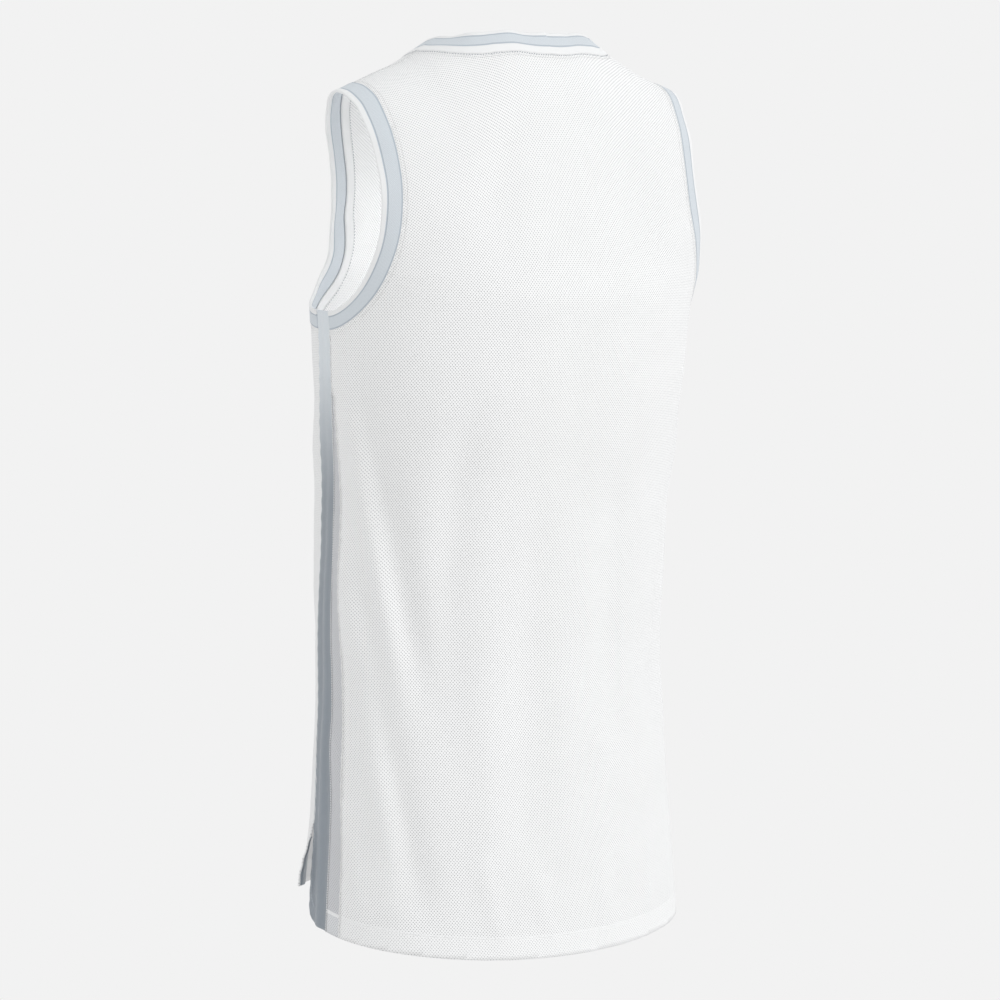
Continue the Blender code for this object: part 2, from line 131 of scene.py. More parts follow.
# %% Read the tables
def column(table, columns, name):
    """Return one named column of a table as an array."""
    return np.array([row[columns.index(name)] for row in table], dtype=float)


def smooth(at, knots, values):
    """Read a column at any place, on a curve through its knots that never overshoots."""
    step = np.diff(knots)
    rise = np.diff(values) / step
    slope = np.concatenate([rise[:1], np.zeros(len(knots) - 2), rise[-1:]])
    for i in range(1, len(knots) - 1):
        if rise[i - 1] * rise[i] > 0:
            before = 2 * step[i] + step[i - 1]
            after = step[i] + 2 * step[i - 1]
            slope[i] = (before + after) / (before / rise[i - 1] + after / rise[i])
    at = np.clip(at, knots[0], knots[-1])
    i = np.clip(np.searchsorted(knots, at, side="right") - 1, 0, len(knots) - 2)
    s = (at - knots[i]) / step[i]
    return ((1 + 2 * s) * (1 - s) ** 2 * values[i] + s * (1 - s) ** 2 * step[i] * slope[i]
            + s * s * (3 - 2 * s) * values[i + 1] + s * s * (s - 1) * step[i] * slope[i + 1])


def ease(t):
    """Rise smoothly from 0 to 1."""
    t = np.clip(t, 0.0, 1.0)
    return t * t * (3 - 2 * t)


def section(name, tape):
    """Return one size of the worn shape at each tape distance."""
    return smooth(tape, column(SECTIONS, SECTION_COLUMNS, "tape"),
                  column(SECTIONS, SECTION_COLUMNS, name))


def seam(name, tape):
    """Return where a side seam runs at each tape distance, above zero behind the side line."""
    return smooth(tape, column(SIDE_SEAMS, SEAM_COLUMNS, "tape"),
                  column(SIDE_SEAMS, SEAM_COLUMNS, name))


def quarter_ring(face, tape):
    """Walk each level's ring from the centre line to the side: x, y and distance walked."""
    turn = np.linspace(0.0, math.pi / 2, 121)
    power = (2.0 / section("square_" + face, tape))[:, None]
    x = section("half_" + face, tape)[:, None] * np.sin(turn) ** power
    y = section("depth_" + face, tape)[:, None] * np.cos(turn) ** power
    walked = np.concatenate([np.zeros((len(tape), 1)),
                             np.cumsum(np.hypot(np.diff(x), np.diff(y)), axis=1)], axis=1)
    return x, y, walked


def side_line(face, tape):
    """Return how far across the side line is from a face's centre line."""
    tape = np.atleast_1d(np.asarray(tape, dtype=float))
    return quarter_ring(face, tape)[2][:, -1]


print("half the chest, back and front:",
      [round(float(side_line(face, UNDERARM)[0]), 3) for face in ("back", "front")])

# %% [markdown]
# ## Folds
#
# The jersey hangs from the shoulders and is pulled a little by the side seams, so its main folds
# start under the arms and run down and inwards, with long soft hollows between them. Each fold is
# one row: where it starts and ends, how it bows, how wide it is and how far it rises or sinks.
# They are uneven on purpose. Cloth simulation would give folds too, but not these ones, and rows
# can be read and changed by hand. The same folds shape the plain solids under the cloth, and the
# cloth itself folds a little deeper. Below the folds sit two weak effects that all cloth has: broad
# unevenness, and small puckers where a seam's thread draws the knit together.

# %% Folds placed one by one
FOLD_COLUMNS = ("face", "across_top", "tape_top", "across_end", "tape_end", "bow", "width",
                "rise")
FOLDS = (
    # from the wearer's left underarm, down the back
    ("back", 0.214, 0.330, 0.140, 0.640, -0.006, 0.011, 0.0050),
    ("back", 0.190, 0.360, 0.118, 0.660, -0.006, 0.016, -0.0050),
    ("back", 0.212, 0.450, 0.150, 0.800, -0.006, 0.012, 0.0050),
    ("back", 0.196, 0.540, 0.128, 0.830, -0.004, 0.016, -0.0045),
    ("back", 0.200, 0.300, 0.186, 0.420, 0.000, 0.010, -0.0018),
    ("back", 0.220, 0.620, 0.186, 0.830, -0.003, 0.008, 0.0016),
    # long soft hollows and ridges in the middle of the back
    ("back", 0.096, 0.320, 0.100, 0.700, 0.006, 0.018, -0.0030),
    ("back", 0.028, 0.420, 0.040, 0.800, -0.005, 0.020, -0.0028),
    ("back", -0.060, 0.400, -0.072, 0.700, 0.006, 0.020, -0.0030),
    ("back", 0.064, 0.500, 0.072, 0.810, 0.004, 0.016, 0.0016),
    ("back", -0.016, 0.560, -0.006, 0.820, 0.004, 0.018, 0.0015),
    ("back", 0.060, 0.120, 0.076, 0.250, 0.004, 0.026, -0.0018),
    ("back", -0.070, 0.130, -0.082, 0.270, -0.004, 0.026, -0.0015),
    # small ripples above the back hem
    ("back", 0.082, 0.740, 0.062, 0.838, 0.002, 0.009, 0.0012),
    ("back", 0.030, 0.760, 0.014, 0.838, 0.001, 0.008, 0.0010),
    ("back", -0.040, 0.750, -0.050, 0.836, 0.002, 0.009, 0.0010),
    ("back", -0.110, 0.740, -0.104, 0.832, 0.002, 0.010, 0.0012),
    # from the right underarm, down the back
    ("back", -0.204, 0.340, -0.146, 0.610, 0.006, 0.013, 0.0045),
    ("back", -0.186, 0.400, -0.120, 0.700, 0.005, 0.017, -0.0040),
    # the front
    ("front", 0.206, 0.340, 0.140, 0.620, -0.008, 0.013, 0.0045),
    ("front", 0.178, 0.360, 0.116, 0.660, -0.006, 0.018, -0.0045),
    ("front", 0.060, 0.330, 0.052, 0.700, 0.006, 0.020, -0.0035),
    ("front", -0.040, 0.380, -0.056, 0.740, -0.006, 0.022, -0.0035),
    ("front", -0.204, 0.330, -0.130, 0.650, 0.008, 0.013, 0.0050),
    ("front", -0.180, 0.380, -0.112, 0.700, 0.006, 0.018, -0.0045),
    ("front", 0.120, 0.170, 0.150, 0.290, 0.006, 0.012, 0.0022),
    ("front", 0.096, 0.180, 0.132, 0.330, 0.006, 0.014, -0.0020),
    ("front", -0.116, 0.180, -0.150, 0.300, -0.006, 0.012, 0.0022),
    ("front", -0.092, 0.190, -0.128, 0.320, -0.006, 0.014, -0.0018),
    ("front", 0.010, 0.560, 0.004, 0.785, 0.004, 0.018, 0.0018),
    ("front", 0.098, 0.600, 0.090, 0.780, 0.004, 0.015, 0.0018),
)
FOLD_DEPTH = 1.25             # how much deeper the cloth folds than the solid under it
FOLD_START = 0.25             # the share of its length in which a fold grows
FOLD_END = 0.35               # and in which it dies away
UNEVEN = ((0.085, 0.0012), (0.034, 0.00045))   # size of the waves, and their height
PUCKER_WAVE = 0.013           # from one pucker to the next along a seam
PUCKER_REACH = 0.010          # how far from the seam they fade out
PUCKER_HEIGHT = 0.00035
print(len(FOLDS), "folds placed by hand")


# %% Lay the cut on the body
def fold_rise(face, across, tape, flare):
    """Add up the folds at each point, and where asked the front's flare at the slit."""
    rise = np.zeros_like(across)
    for name, across_top, tape_top, across_end, tape_end, bow, width, height in FOLDS:
        if name != face:
            continue
        along = (tape - tape_top) / (tape_end - tape_top)
        middle = across_top + (across_end - across_top) * along
        middle = middle + bow * 4 * along * (1 - along)
        fade = ease(along / FOLD_START) * ease((1 - along) / FOLD_END)
        rise += FOLD_DEPTH * height * fade * np.exp(-((across - middle) / width) ** 2)
    if flare:
        edge = side_line("front", tape) + seam("stripe_front", tape)
        down = ease((tape - SLIT_TOP + 0.02) / (HEM["front"][1] - SLIT_TOP + 0.02))
        inward = edge - np.abs(across)
        rise += SLIT_FLARE * down * ease(1 - inward / FLARE_REACH)
        rise += SLIT_CURL * down * np.clip(1 - inward / CURL_REACH, 0.0, 1.0) ** 2
    below = ease((tape - UNDERARM) / 0.03)
    behind = side_line(face, tape) - np.abs(across)
    seam_at = seam("gusset_back", tape) if face == "back" else -seam("stripe_front", tape)
    near = np.exp(-np.abs(behind - seam_at) / PUCKER_REACH)
    drift = 0.6 * np.sin(tape * 37.0) + 0.8 * np.sin(tape * 21.0)
    rise += PUCKER_HEIGHT * below * near * np.sin(2 * math.pi * tape / PUCKER_WAVE + drift)
    return rise


def face_point(face, across, tape, flare):
    """Lay points of one face on the worn shape."""
    x, y, walked = quarter_ring(face, tape)
    reach = np.clip(np.abs(across), 0.0, walked[:, -1] * (1 - 1e-9))
    i = (walked <= reach[:, None]).sum(axis=1) - 1
    row = np.arange(len(i))
    part = (reach - walked[row, i]) / (walked[row, i + 1] - walked[row, i])
    px = x[row, i] + part * (x[row, i + 1] - x[row, i])
    py = y[row, i] + part * (y[row, i + 1] - y[row, i])
    forward = 1.0 if face == "back" else -1.0

    # straight out from the ring, level
    square = section("square_" + face, tape)
    half = section("half_" + face, tape)
    depth = np.maximum(section("depth_" + face, tape), 1e-4)
    out_x = (px / half) ** (square - 1) / half
    out_y = (py / depth) ** (square - 1) / depth
    length = np.hypot(out_x, out_y)
    rise = fold_rise(face, across, tape, flare)
    for size, height in UNEVEN:
        spots = np.stack([np.sign(across) * px, forward * py, -tape], axis=1) / size
        wave = height * np.array([noise.noise(Vector(spot)) for spot in spots])
        rise = rise + wave * ease(tape / 0.04)
    px = px + rise * out_x / length
    py = py + rise * out_y / length

    ridge = smooth(px, column(RIDGE, RIDGE_COLUMNS, "out"), column(RIDGE, RIDGE_COLUMNS, "height"))
    return np.stack([np.sign(across) * px,
                     section("centre_y", tape) + forward * py
                     + section("sweep", tape) * (px / ARMHOLE_TOP) ** 2,
                     section("height", tape) + section("lean", tape) * ridge], axis=1)


def slip(across, tape):
    """Return how far the cloth has slipped across the body, most out on the shoulders."""
    down = 1 - ease((np.abs(tape) - 0.10) / 0.18)
    return SLIP * down * np.clip(np.abs(across) / 0.17, 0.0, 1.0) ** 1.8


def form(face, across, tape, flare=False):
    """Lay points on the worn shape. Past the side line they carry on round the other face."""
    across, tape = np.broadcast_arrays(np.asarray(across, dtype=float),
                                       np.asarray(tape, dtype=float))
    flat_tape = tape.ravel().copy()
    flat_across = across.ravel() + slip(across.ravel(), flat_tape)
    other = "front" if face == "back" else "back"
    over = flat_tape < 0.0
    flat_tape = np.abs(flat_tape)
    reach = side_line(face, flat_tape)
    past = (np.abs(flat_across) > reach) & ~over
    wrapped = np.sign(flat_across) * (side_line(other, flat_tape) + reach - np.abs(flat_across))
    points = face_point(face, flat_across, flat_tape, flare)
    turned = over | past
    if turned.any():
        there = np.where(past, wrapped, flat_across)
        points[turned] = face_point(other, there[turned], flat_tape[turned], False)
    return points.reshape(across.shape + (3,))


def outward(face, across, tape, flare=False):
    """Return the direction straight out of the cloth at each point."""
    step = 0.0015
    along = form(face, across + step, tape, flare) - form(face, across - step, tape, flare)
    down = form(face, across, tape + step, flare) - form(face, across, tape - step, flare)
    out = np.cross(along, down) * (1.0 if face == "back" else -1.0)
    return out / np.linalg.norm(out, axis=-1, keepdims=True)


print("centre back under the neck:", form("back", 0.0, 0.10).round(3))

# %% [markdown]
# ## Lines of the cut
#
# Armholes and necks are drawn as a tailor draws them. The armhole runs down from the shoulder to
# its deepest cut and then turns out to the side seam on a quarter of an ellipse. The neck is half
# an ellipse, shallow behind and deep in front. Moving such a line square to itself gives every
# other line that runs along it: the far edge of the band, the edge of the panel, a row of
# stitches.


# %% Armhole, neck and hem
def resample(across, tape, stations):
    """Space a run of points evenly."""
    walked = np.concatenate([[0.0], np.cumsum(np.hypot(np.diff(across), np.diff(tape)))])
    at = np.linspace(0.0, walked[-1], stations)
    return np.interp(at, walked, across), np.interp(at, walked, tape)


def stripe_margin(face, tape):
    """Return how far from the side line a face's band and panel end."""
    return seam("stripe_back", tape) if face == "back" else -seam("stripe_front", tape)


def armhole(face, inset, stations):
    """Return the left armhole from the shoulder to the side stripe, moved into the cloth."""
    middle = ARMHOLE_MIDDLE[face]
    turning = ARMHOLE_TURN[face]
    side = side_line(face, UNDERARM)[0]
    upper = np.linspace(0.0, turning, 80)
    turn = np.linspace(0.0, math.pi / 2, 120)[1:]
    across = np.concatenate([
        middle + (ARMHOLE_TOP - middle) * 0.5 * (1 + np.cos(math.pi * upper / turning)),
        side - (side - middle) * np.cos(turn)])
    tape = np.concatenate([upper, turning + (UNDERARM - turning) * np.sin(turn)])
    run = np.gradient(across)
    fall = np.gradient(tape)
    fall[0], run[0] = 1.0, 0.0
    length = np.hypot(run, fall)
    across, tape = across - inset * fall / length, tape + inset * run / length
    clear = side_line(face, tape) - stripe_margin(face, tape) - across
    last = int((clear > 0).sum())
    part = clear[last - 1] / (clear[last - 1] - clear[last])
    end_tape = tape[last - 1] + part * (tape[last] - tape[last - 1])
    end_across = side_line(face, end_tape)[0] - stripe_margin(face, end_tape)
    return resample(np.append(across[:last], end_across), np.append(tape[:last], end_tape),
                    stations)


def neck(face, outset, stations):
    """Return the left half of the neck, centre to shoulder, moved out into the cloth."""
    turn = np.linspace(0.0, math.pi / 2, 120)
    out_across = NECK_DROP[face] * np.sin(turn)
    out_tape = NECK_HALF * np.cos(turn)
    length = np.hypot(out_across, out_tape)
    return resample(NECK_HALF * np.sin(turn) + outset * out_across / length,
                    NECK_DROP[face] * np.cos(turn) + outset * out_tape / length, stations)


def hem(face, across):
    """Return the hem's tape distance, a little longer at the centre than at the side."""
    centre, side = HEM[face]
    return centre - (centre - side) * (np.abs(across) / side_line(face, side)[0]) ** 2


print("armhole edge", round(float(np.hypot(*np.diff(armhole("back", 0.0, 200))).sum()
                                  + np.hypot(*np.diff(armhole("front", 0.0, 200))).sum()), 3),
      "m in the cut")

# %% [markdown]
# ## Camera, floor and light
#
# The camera stands behind the wearer's left shoulder, level with the chest and three metres away,
# with a long lens, so the garment keeps its proportions. It looks a little down to centre the
# jersey. The floor and the surroundings are the same pale grey, and they give most of the light.
# Two soft lamps do the rest: a broad one to the camera's right, which models the folds from one
# side, and a weak one high on the left, for the satin stripe. A small lamp inside the hollow
# jersey stands in for the light that falls through thin knit, so the inside doesn't go dark.

# %% Camera
AZIMUTH = math.radians(35.0)  # from straight behind, towards the wearer's left
DISTANCE = 3.0
AIM = Vector((0.0065, -0.0045, -0.394))

camera_data = bpy.data.cameras.new("camera")
camera_data.lens = 122.4
camera_data.sensor_width = 36.0
camera = bpy.data.objects.new("camera", camera_data)
bpy.context.scene.collection.objects.link(camera)
camera.location = (DISTANCE * math.sin(AZIMUTH), DISTANCE * math.cos(AZIMUTH), -0.2)
camera.rotation_euler = (AIM - camera.location).to_track_quat("-Z", "Y").to_euler()
bpy.context.scene.camera = camera
bpy.context.scene.view_settings.view_transform = "Standard"
print("camera at", [round(value, 3) for value in camera.location])

# %% Surroundings and lamps
BACKDROP = (0.888, 0.888, 0.888, 1.0)   # what shows behind the jersey
AMBIENT = 0.86                # how much light comes from all around

world = bpy.data.worlds.new("studio")
bpy.context.scene.world = world
world.use_nodes = True
tree = world.node_tree
tree.nodes.clear()
seen = tree.nodes.new("ShaderNodeBackground")
seen.inputs["Color"].default_value = BACKDROP
around = tree.nodes.new("ShaderNodeBackground")
around.inputs["Color"].default_value = (0.985, 0.995, 1.0, 1.0)
around.inputs["Strength"].default_value = AMBIENT
rays = tree.nodes.new("ShaderNodeLightPath")
choose = tree.nodes.new("ShaderNodeMixShader")
output = tree.nodes.new("ShaderNodeOutputWorld")
tree.links.new(rays.outputs["Is Camera Ray"], choose.inputs["Fac"])
tree.links.new(around.outputs["Background"], choose.inputs[1])
tree.links.new(seen.outputs["Background"], choose.inputs[2])
tree.links.new(choose.outputs["Shader"], output.inputs["Surface"])


def soft_lamp(name, place, aim, size, power):
    """Hang one large square lamp and turn it to what it lights."""
    lamp_data = bpy.data.lights.new(name, "AREA")
    lamp_data.size = size
    lamp_data.energy = power
    lamp = bpy.data.objects.new(name, lamp_data)
    lamp.location = place
    lamp.rotation_euler = (Vector(aim) - Vector(place)).to_track_quat("-Z", "Y").to_euler()
    lamp.visible_camera = False
    bpy.context.scene.collection.objects.link(lamp)
    return lamp


soft_lamp("key_lamp", (-2.2, 3.1, 1.3), (0.0, 0.0, -0.35), 2.4, 55.0)
soft_lamp("side_lamp", (2.6, 1.2, 2.2), (0.1, 0.0, -0.2), 1.2, 5.0)

inner_data = bpy.data.lights.new("inner_lamp", "POINT")
inner_data.shadow_soft_size = 0.06
inner_data.energy = 0.33
inner_lamp = bpy.data.objects.new("inner_lamp", inner_data)
inner_lamp.location = (0.03, 0.01, -0.20)
inner_lamp.visible_camera = False
bpy.context.scene.collection.objects.link(inner_lamp)

# %% Floor
floor_bm = bmesh.new()
bmesh.ops.create_grid(floor_bm, x_segments=1, y_segments=1, size=14.0)
bmesh.ops.translate(floor_bm, verts=floor_bm.verts, vec=(0.0, 0.0, -1.25))
floor_mesh = bpy.data.meshes.new("floor")
floor_bm.to_mesh(floor_mesh)
floor_bm.free()
floor = bpy.data.objects.new("floor", floor_mesh)
bpy.context.scene.collection.objects.link(floor)

floor_finish = bpy.data.materials.new("pale_floor")
floor_finish.use_nodes = True
tree = floor_finish.node_tree
tree.nodes.clear()
seen = tree.nodes.new("ShaderNodeEmission")
seen.inputs["Color"].default_value = BACKDROP
bounced = tree.nodes.new("ShaderNodeEmission")
bounced.inputs["Strength"].default_value = AMBIENT
rays = tree.nodes.new("ShaderNodeLightPath")
choose = tree.nodes.new("ShaderNodeMixShader")
output = tree.nodes.new("ShaderNodeOutputMaterial")
tree.links.new(rays.outputs["Is Camera Ray"], choose.inputs["Fac"])
tree.links.new(bounced.outputs["Emission"], choose.inputs[1])
tree.links.new(seen.outputs["Emission"], choose.inputs[2])
tree.links.new(choose.outputs["Shader"], output.inputs["Surface"])
floor.data.materials.append(floor_finish)
print("floor placed under the hem")

# %% [markdown]
# ## Finishes
#
# Every finish is a small network of nodes on the cloth's own flat map, which is in metres of
# cloth, so a hole in the mesh knit keeps its real size on every fold. The mesh knit has round
# holes in brick rows, painted dark with the shade seen into them. The wedges' mesh is the same
# knit painted greyer as shade. The bands are a close twill with a darker line at each border of
# the stripe. The side stripe is a satin knit, pale under the arm with painted sheen and greyer
# towards the waist.
# Three distances stored on the points say where a hem, a rim or a seam is near. Constant values,
# such as sheen, stand on the shader's own sockets.


# %% Small helpers for node networks
class Network:
    """A material's nodes, with the few kinds that cloth needs."""

    def __init__(self, name, roughness, sheen, specular):
        self.material = bpy.data.materials.new(name)
        self.material.use_nodes = True
        self.tree = self.material.node_tree
        self.shader = self.tree.nodes["Principled BSDF"]
        self.shader.inputs["Roughness"].default_value = roughness
        self.shader.inputs["Sheen Weight"].default_value = sheen
        self.shader.inputs["Sheen Roughness"].default_value = 0.45
        self.shader.inputs["Specular IOR Level"].default_value = specular

    def link(self, value, socket):
        """Feed a socket from another node, or set it to a number."""
        if hasattr(value, "is_output"):
            self.tree.links.new(value, socket)
        else:
            socket.default_value = value

    def math(self, operation, first, second=0.0, third=0.0):
        """Work out one number from up to three."""
        step = self.tree.nodes.new("ShaderNodeMath")
        step.operation = operation
        for value, socket in zip((first, second, third), step.inputs):
            self.link(value, socket)
        return step.outputs["Value"]

    def between(self, value, start, end, low=0.0, high=1.0):
        """Fade a number smoothly from low to high as value goes from start to end."""
        step = self.tree.nodes.new("ShaderNodeMapRange")
        step.interpolation_type = "SMOOTHSTEP"
        for socket, number in (("Value", value), ("From Min", start), ("From Max", end),
                               ("To Min", low), ("To Max", high)):
            self.link(number, step.inputs[socket])
        return step.outputs["Result"]

    def band(self, value, start, end, blur):
        """Return 1 between start and end and 0 outside."""
        return self.math("MULTIPLY", self.between(value, start - blur, start + blur),
                         self.between(value, end - blur, end + blur, 1.0, 0.0))

    def mix(self, share, first, second):
        """Mix two colours."""
        step = self.tree.nodes.new("ShaderNodeMix")
        step.data_type = "RGBA"
        self.link(share, step.inputs[0])
        self.link(first, step.inputs[6])
        self.link(second, step.inputs[7])
        return step.outputs[2]

    def noise(self, coordinates, scale, detail=2.0):
        """Return a soft uneven number about 0.5."""
        step = self.tree.nodes.new("ShaderNodeTexNoise")
        step.inputs["Scale"].default_value = scale
        step.inputs["Detail"].default_value = detail
        self.tree.links.new(coordinates, step.inputs["Vector"])
        return step.outputs["Fac"]

    def cloth_map(self):
        """Return the cloth's own map and its two distances, in metres."""
        where = self.tree.nodes.new("ShaderNodeUVMap")
        where.uv_map = "cloth"
        parts = self.tree.nodes.new("ShaderNodeSeparateXYZ")
        self.tree.links.new(where.outputs["UV"], parts.inputs["Vector"])
        return where.outputs["UV"], parts.outputs["X"], parts.outputs["Y"]

    def attribute(self, name):
        """Return a number stored on the piece's points."""
        step = self.tree.nodes.new("ShaderNodeAttribute")
        step.attribute_name = name
        return step.outputs["Fac"]

    def finish(self, colour, height, depth):
        """Wire the colour and a relief of the given depth, in metres, to the shader."""
        self.link(colour, self.shader.inputs["Base Color"])
        bump = self.tree.nodes.new("ShaderNodeBump")
        bump.inputs["Distance"].default_value = depth
        bump.inputs["Strength"].default_value = 1.0
        self.link(height, bump.inputs["Height"])
        self.tree.links.new(bump.outputs["Normal"], self.shader.inputs["Normal"])
        return self.material


# %% White mesh knit, and a copy with painted shade for the wedges
HOLE_PITCH = 0.0027           # from one hole to the next in a row
ROW_PITCH = 0.0015            # from one row of holes to the next
HOLE_SIZE = 0.00085           # across a hole
BLUR = 0.0003                 # how softly a line in the cloth begins and ends
WHITE = (0.925, 0.926, 0.926, 1.0)
OVERLOCK_WHITE = (0.930, 0.932, 0.934, 1.0)
EDGE_WHITE = 0.0016           # how wide the white overlock shows beside the wedge's seams
LINE_SHADE = (0.40, 0.41, 0.43, 1.0)
# painted shade: the dark seen into each hole of the knit
PAINTED_HOLE_SHADE = (0.47, 0.48, 0.49, 1.0)
KNIT_RELIEF = 0.0004


def mesh_knit(name, white=WHITE, in_hem=WHITE, hole_shade=0.7):
    """Make the mesh knit: staggered soft round holes, painted dark as shade, seams and a double
    hem.
    """
    net = Network(name, 0.85, 0.15, 0.25)
    cloth, u, v = net.cloth_map()
    row = net.math("DIVIDE", v, ROW_PITCH)
    shift = net.math("MULTIPLY", net.math("FLOORED_MODULO", net.math("FLOOR", row), 2.0), 0.5)
    place = net.math("ADD", net.math("DIVIDE", u, HOLE_PITCH), shift)
    aside = net.math("MULTIPLY", net.math("SUBTRACT", net.math("FRACT", place), 0.5), HOLE_PITCH)
    along = net.math("MULTIPLY", net.math("SUBTRACT", net.math("FRACT", row), 0.5), ROW_PITCH)
    away = net.math("SQRT", net.math("ADD", net.math("MULTIPLY", aside, aside),
                                     net.math("MULTIPLY", along, along)))
    hole = net.between(away, HOLE_SIZE * 0.78, HOLE_SIZE * 0.30)
    hem_far = net.attribute("hem_far")
    double = net.between(hem_far, HEM_DEPTH + 0.0004, HEM_DEPTH - 0.0004)
    at_edge = net.between(net.attribute("edge_far"), EDGE_WHITE + BLUR, EDGE_WHITE - BLUR)
    open_share = net.math("SUBTRACT", 1.0, net.math("MULTIPLY", double, 0.20))
    hole = net.math("MULTIPLY", hole, open_share)
    rim_far = net.attribute("rim_far")
    groove = net.band(rim_far, UNDERLAP + 0.0030, UNDERLAP + 0.0037, BLUR)
    turned = net.band(hem_far, HEM_DEPTH - 0.0002, HEM_DEPTH + 0.0005, BLUR)
    cloudy = net.between(net.noise(cloth, 26.0), 0.25, 0.75)
    plain = net.mix(cloudy, [value * 0.985 for value in white[:3]] + [1.0], list(white))
    plain = net.mix(net.math("MULTIPLY", double, 0.6), plain, list(in_hem))
    # the holes are painted dark, as shade seen into them
    colour = net.mix(net.math("MULTIPLY", hole, hole_shade), plain, PAINTED_HOLE_SHADE)
    lines = net.math("ADD", net.math("MULTIPLY", groove, 0.12), net.math("MULTIPLY", turned, 0.07))
    colour = net.mix(lines, colour, LINE_SHADE)
    stitched = net.band(hem_far, HEM_DEPTH - 0.0012, HEM_DEPTH + 0.0018, BLUR)
    pale = net.math("MAXIMUM", at_edge, net.math("MULTIPLY", stitched, 0.8))
    colour = net.mix(pale, colour, OVERLOCK_WHITE)
    fibre = net.noise(cloth, 1500.0, 3.0)
    height = net.math("SUBTRACT", net.math("MULTIPLY", fibre, 0.12), hole)
    height = net.math("SUBTRACT", height, net.math("MULTIPLY", groove, 0.4))
    height = net.math("ADD", height, net.math("MULTIPLY", double, 0.2))
    return net.finish(colour, height, KNIT_RELIEF)


# The wedges are the white mesh painted greyer as shade, a little lighter in the double hem.
WEDGE_PAINTED_SHADE = (0.640, 0.645, 0.668, 1.0)
WEDGE_HEM_PAINTED_SHADE = (0.800, 0.815, 0.830, 1.0)
white_mesh = mesh_knit("white_mesh")
wedge_painted_shade_mesh = mesh_knit("wedge_painted_shade_mesh", white=WEDGE_PAINTED_SHADE, in_hem=WEDGE_HEM_PAINTED_SHADE, hole_shade=1.25)
print("mesh knit:", round(1 / (HOLE_PITCH * ROW_PITCH) / 1e4, 1), "holes a square centimetre")

# %% Striped band
GREY = (0.735, 0.785, 0.830, 1.0)
GREY_LINE = (0.430, 0.485, 0.545, 1.0)
PLAIN_WHITE = (0.885, 0.890, 0.892, 1.0)
TWILL_PITCH = 0.0014          # from one rib of the twill to the next
TWILL_SLANT = 1.3
BAND_RELIEF = 0.0003
ARMHOLE_STRIPE = (0.0042, 0.0168)    # across the band: where its stripe starts and ends
NECK_STRIPE = (0.0036, 0.0148)


def band_knit(name, stripe_at=None):
    """Make the band's twill: white, with a grey stripe across it where one is asked for."""
    net = Network(name, 0.80, 0.20, 0.25)
    cloth, u, v = net.cloth_map()
    slanted = net.math("ADD", u, net.math("MULTIPLY", v, TWILL_SLANT))
    twill = net.math("SINE", net.math("MULTIPLY", slanted, 2 * math.pi / TWILL_PITCH))
    ribs = net.math("ADD", net.math("MULTIPLY", twill, 0.5), 0.5)
    uneven = net.noise(cloth, 900.0, 2.0)
    colour = net.mix(net.math("MULTIPLY", ribs, 0.5), PLAIN_WHITE,
                     [value * 0.93 for value in PLAIN_WHITE[:3]] + [1.0])
    height = net.math("ADD", net.math("MULTIPLY", ribs, 0.5), net.math("MULTIPLY", uneven, 0.4))
    if stripe_at:
        start, end = stripe_at
        borders = net.math("ADD", net.band(v, start + 0.0002, start + 0.0012, BLUR),
                           net.band(v, end - 0.0014, end - 0.0002, BLUR))
        dull = [value * 0.78 for value in GREY[:3]] + [1.0]
        grey = net.mix(net.math("MULTIPLY", net.math("ADD", ribs, uneven), 0.5), dull, GREY)
        colour = net.mix(net.band(v, start, end, BLUR), colour, grey)
        colour = net.mix(net.math("MULTIPLY", borders, 0.85), colour, GREY_LINE)
        height = net.math("SUBTRACT", height, net.math("MULTIPLY", borders, 0.9))
    return net.finish(colour, height, BAND_RELIEF)


armhole_knit = band_knit("armhole_twill", ARMHOLE_STRIPE)
neck_knit = band_knit("neck_twill", NECK_STRIPE)
for word, (start, end) in (("armhole", ARMHOLE_STRIPE), ("neck", NECK_STRIPE)):
    print(word, "stripe", round((end - start) * 1000, 1), "mm wide")

# %% Satin side stripe
# painted sheen: the satin is painted pale under the arm, where light shines off it
SATIN_PAINTED_SHEEN = (0.760, 0.810, 0.850, 1.0)
SATIN_LOW = (0.270, 0.305, 0.345, 1.0)
SATIN_SHEEN_FADE = (0.300, 0.455)   # tape: where the painted sheen begins to fade, and where the satin is all grey
WALE_PITCH = 0.0009
LOOP_PITCH = 0.0012
SATIN_RELIEF = 0.00025


def satin_knit(name):
    """Make the side stripe's satin: fine upright wales, with painted sheen at the top, grey below.
    """
    net = Network(name, 0.42, 0.35, 0.45)
    cloth, u, v = net.cloth_map()
    # the painted sheen fades to the satin's own grey down the stripe
    fade = net.between(v, *SATIN_SHEEN_FADE)
    uneven = net.noise(cloth, 60.0, 3.0)
    fade = net.math("ADD", fade, net.math("MULTIPLY", net.math("SUBTRACT", uneven, 0.5), 0.10))
    colour = net.mix(fade, SATIN_PAINTED_SHEEN, SATIN_LOW)
    wale = net.math("SINE", net.math("MULTIPLY", u, 2 * math.pi / WALE_PITCH))
    loops = net.math("SINE", net.math("MULTIPLY", v, 2 * math.pi / LOOP_PITCH))
    height = net.math("ADD", net.math("MULTIPLY", wale, 0.35), net.math("MULTIPLY", loops, 0.18))
    shade = net.math("ADD", net.math("MULTIPLY", wale, 0.5), 0.5)
    darker = net.mix(0.12, colour, (0.2, 0.22, 0.25, 1.0))
    colour = net.mix(net.math("MULTIPLY", shade, 0.6), colour, darker)
    return net.finish(colour, height, SATIN_RELIEF)


side_satin = satin_knit("side_satin")
print("satin turns grey between", SATIN_SHEEN_FADE[0], "and", SATIN_SHEEN_FADE[1], "m down")


